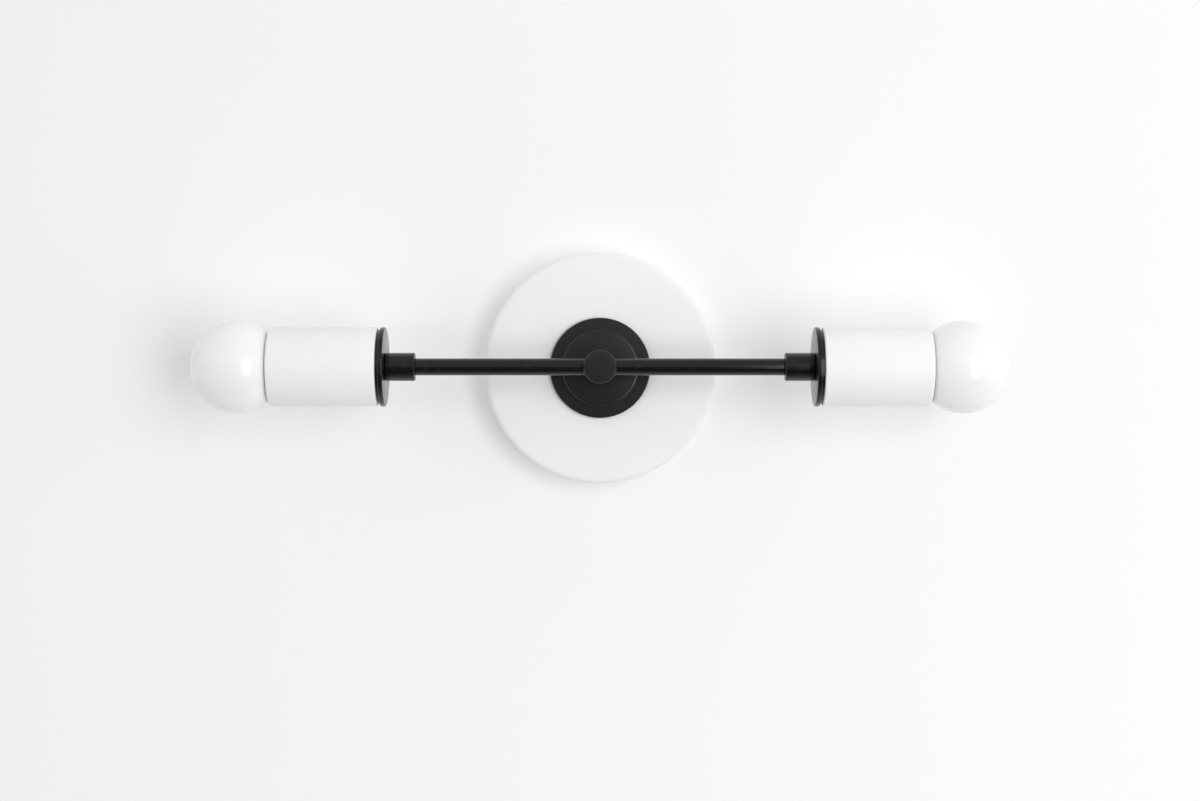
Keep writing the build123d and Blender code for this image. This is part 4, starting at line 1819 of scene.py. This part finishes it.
@dataclass
class Bulb(ArmAssembly):
    """Opal globe lamp with a threaded cap, which turns out of its socket."""

    glass: float = 0.9 * MM
    neck: float = 12.55 * MM
    neck_in_cap: float = 11.7 * MM
    neck_fillet: float = 2.0 * MM
    neck_swell: float = 1.2 * MM
    cap_sheet: float = 0.4 * MM
    cap_taper: float = 2.0 * MM
    cap_foot: float = 10.4 * MM
    cap_skirt: float = 2.4 * MM
    cap_clear: float = 0.3 * MM
    cone: float = 3.6 * MM
    cone_foot: float = 4.8 * MM
    cone_foot_round: float = 0.5 * MM
    cone_round: float = 0.2 * MM
    plug_inset: float = 0.5 * MM
    pin_hole: float = 1.6 * MM
    pin: float = 1.5 * MM
    button: float = 1.9 * MM
    button_round: float = 1.2 * MM
    ball_steps: int = 72
    inner_ball_steps: int = 48
    fillet_steps: int = 8
    rim_steps: int = 4

    def build(self) -> None:
        """Make the glass, cap, insulator and tip, and keep what is inside the glass."""
        turning = Body.BULB.of(self.side)
        self.add(self.globe(), self.node("bulb_globe"), OPAL_GLASS, turning)
        self.add(self.cap(), self.node("bulb_cap"), LAMP_CAP_METAL, turning)
        self.add(self.insulator(), self.node("bulb_insulator"), BLACK_GLASS, turning)
        self.add(self.tip(), self.node("bulb_tip"), LAMP_CAP_METAL, Body.BULB_TIP.of(self.side))
        self.keep(self.node("bulb_mount"), CLEAR_GLASS)
        self.keep(self.node("bulb_filaments"), FILAMENT)

    def globe(self) -> bpy.types.Object:
        """Hollow globe whose neck narrows inside the cap.

        Returns:
            The globe.
        """
        node = self.node("bulb_globe")
        span = self.axis.span(node)
        cap_end = self.axis.span(self.node("bulb_cap")).end
        ball = span.radius
        middle = span.end - ball
        blend_radius = self.neck + self.neck_fillet
        blend_along = middle - math.sqrt((ball + self.neck_fillet) ** 2 - blend_radius**2)
        meet = math.atan2(blend_radius, blend_along - middle)
        inner_ball = ball - self.glass
        inner_neck = self.neck_in_cap - self.glass
        inner_meet = math.pi - math.asin(inner_neck / inner_ball)
        narrow = cap_end - self.neck_swell
        blend = (blend_along, blend_radius)
        turn_in = meet - math.pi
        spots = arc((middle, 0.0), ball, 0.0, meet, self.ball_steps)
        spots += arc(blend, self.neck_fillet, turn_in, -math.pi / 2, self.fillet_steps)[1:]
        spots += [
            Spot(cap_end - self.cap_clear, self.neck),
            Spot(narrow, self.neck_in_cap),
            Spot(span.start, self.neck_in_cap),
            Spot(span.start, inner_neck),
        ]
        spots += arc((middle, 0.0), inner_ball, inner_meet, 0.0, self.inner_ball_steps)
        return spin(f"{node}_blown", spots, self.axis, closed=False, segments=FINE_SEGMENTS)

    def cap(self) -> bpy.types.Object:
        """Thin screw cap with a rolled thread and a plain skirt at the glass.

        Returns:
            The cap.
        """
        node = self.node("bulb_cap")
        span = self.axis.span(node)
        thread = LAMP_THREAD
        taper = span.start + self.cap_taper
        skirt = span.end - self.cap_skirt
        inside = span.radius - thread.depth - self.cap_sheet
        rim = span.radius - self.cap_sheet
        spots = [Spot(span.start, self.cap_foot - self.plug_inset), Spot(span.start, self.cap_foot)]
        spots += threaded(taper, skirt, span.radius, thread.pitch, thread.fade)
        lip = (span.end - METAL_EDGE, span.radius - METAL_EDGE)
        spots += arc(lip, METAL_EDGE, math.pi / 2, 0.0, self.rim_steps, edge=1.0)
        spots += [
            Spot(span.end, rim),
            Spot(span.end - self.neck_swell, inside),
            Spot(taper, inside),
        ]
        return spin(f"{node}_rolled", spots, self.axis, cut=thread.cut())

    def insulator(self) -> bpy.types.Object:
        """Black glass cone between the tip and the cap.

        Returns:
            The insulator.
        """
        node = self.node("bulb_insulator")
        span = self.axis.span(node)
        shoulder = span.start + self.cone
        corners = [
            Corner(span.start, self.pin_hole),
            Corner(span.start, self.cone_foot, self.cone_foot_round),
            Corner(shoulder, span.radius, self.cone_round),
            Corner(shoulder, span.radius - self.plug_inset),
            Corner(span.end, span.radius - self.plug_inset),
            Corner(span.end, self.pin_hole),
        ]
        return spin(f"{node}_pressed", rounded(corners), self.axis)

    def tip(self) -> bpy.types.Object:
        """Domed contact with a pin in the insulator.

        Returns:
            The contact.
        """
        node = self.node("bulb_tip")
        span = self.axis.span(node)
        back = span.start + self.button
        corners = [
            Corner(span.start, 0.0),
            Corner(span.start, span.radius, self.button_round),
            Corner(back, span.radius, METAL_EDGE),
            Corner(back, self.pin),
            Corner(span.end, self.pin, METAL_EDGE),
            Corner(span.end, 0.0),
        ]
        return spin(f"{node}_soldered", rounded(corners, closed=False), self.axis, closed=False)


@dataclass(frozen=True)
class Patch:
    """Soft patch of room light: its direction, strength, and the angles where it ends and is full."""

    towards: tuple[float, float, float]
    strength: float
    outer: float
    inner: float

    def wire(self, graph: Graph, direction: Wire) -> Wire:
        """Strength of the patch in a direction.

        Args:
            graph: nodes of the world.
            direction: the direction that is looked in.

        Returns:
            The strength.
        """
        sockets = {0: direction, 1: self.towards}
        along = graph.node("ShaderNodeVectorMath", {"operation": "DOT_PRODUCT"}, sockets, "Value")
        limits = [math.cos(math.radians(angle)) for angle in (self.outer, self.inner)]
        return graph.step(along, *limits) * self.strength


@dataclass
class Studio:
    """Pale wall, two tall windows on the right, a pale room, and the camera."""

    photo_width: float = 1200.0
    focal_pixels: float = 2050.0
    sensor_mm: float = 36.0
    camera_place: tuple[float, float, float] = (0.0, -1211 * MM, -18.9 * MM)
    wall_back: float = 0.3 * MM
    wall_hole: float = 65.0 * MM
    wall_reach: float = 4.0
    window_size: tuple[float, float] = (1.1, 2.0)
    front_place: tuple[float, float, float] = (1.15, -2.3, -0.06)
    front_watts: float = 31.5
    side_place: tuple[float, float, float] = (2.3, -1.1, -0.06)
    side_watts: float = 8.5
    room: float = 0.61
    patches: tuple[Patch, ...] = (
        Patch(towards=(-0.996, -0.087, 0.0), strength=0.34, outer=86.0, inner=24.0),
        Patch(towards=(0.0, 0.0, 1.0), strength=0.05, outer=85.0, inner=10.0),
        Patch(towards=(0.0, -0.829, -0.559), strength=-0.5, outer=47.0, inner=20.0),
    )

    def build(self) -> None:
        """Make the whole setting."""
        self.wall()
        self.world()
        self.window("front_window", self.front_place, self.front_watts)
        self.window("side_window", self.side_place, self.side_watts)
        self.camera()

    def wall(self) -> None:
        """Wall behind the light, with the box opening that the canopy covers."""
        axis = Axis(Vector((0, self.wall_back, 0)), FORWARD, UPWARD)
        spots = [Spot(0.0, self.wall_reach), Spot(0.0, self.wall_hole)]
        piece = spin("room_wall", spots, axis, closed=False)
        if piece.data.polygons[0].normal.dot(axis.out) < 0:
            piece.data.flip_normals()
        ROOM_WALL.dress(piece)

    def window(self, name: str, place: tuple[float, float, float], watts: float) -> None:
        """Tall soft light that faces the fitting.

        Args:
            name: name of the light.
            place: its middle.
            watts: its power.
        """
        light = bpy.data.lights.new(name, "AREA")
        light.shape = "RECTANGLE"
        light.size, light.size_y = self.window_size
        light.energy = watts
        lamp = bpy.data.objects.new(name, light)
        lamp.location = place
        lamp.rotation_euler = (-Vector(place)).to_track_quat("-Z", "Y").to_euler()
        bpy.context.scene.collection.objects.link(lamp)

    def world(self) -> None:
        """Room light, paler at the left wall and the ceiling and dim over the floor in front."""
        world = bpy.data.worlds.new("room")
        world.use_nodes = True
        bpy.context.scene.world = world
        graph = Graph(world.node_tree)
        direction = graph.node("ShaderNodeTexCoord", output="Generated")
        strength: Union[Wire, float] = self.room
        for patch in self.patches:
            strength = strength + patch.wire(graph, direction)
        sockets = {"Color": shade(1.0, 1.0, 1.0), "Strength": strength}
        light = graph.node("ShaderNodeBackground", None, sockets)
        graph.node("ShaderNodeOutputWorld", None, {"Surface": light})

    def camera(self) -> None:
        """Level camera straight in front, as the photograph was taken."""
        lens = bpy.data.cameras.new("camera")
        lens.sensor_fit = "HORIZONTAL"
        lens.sensor_width = self.sensor_mm
        lens.lens = self.focal_pixels / self.photo_width * self.sensor_mm
        camera = bpy.data.objects.new("camera", lens)
        camera.location = self.camera_place
        camera.rotation_euler = (math.pi / 2, 0, 0)
        bpy.context.scene.collection.objects.link(camera)
        bpy.context.scene.camera = camera


def main() -> None:
    """Build and dress the light and set the room round it."""
    logging.basicConfig(level=logging.INFO, format="%(name)s: %(message)s")
    stack_axis = Axis(Vector((0, 0, 0)), FORWARD, UPWARD)
    assemblies: list[SubAssembly] = [WallCanopy(stack_axis), CentreStack(stack_axis)]
    for side in Side:
        axis = arm_axis(side)
        assemblies += [Arm(axis, side), LampSocket(axis, side), Bulb(axis, side)]
    for assembly in assemblies:
        assembly.build()
        assembly.dress()
    Studio().build()
    bpy.context.scene.view_settings.view_transform = "Standard"


if __name__ == "__main__":
    main()
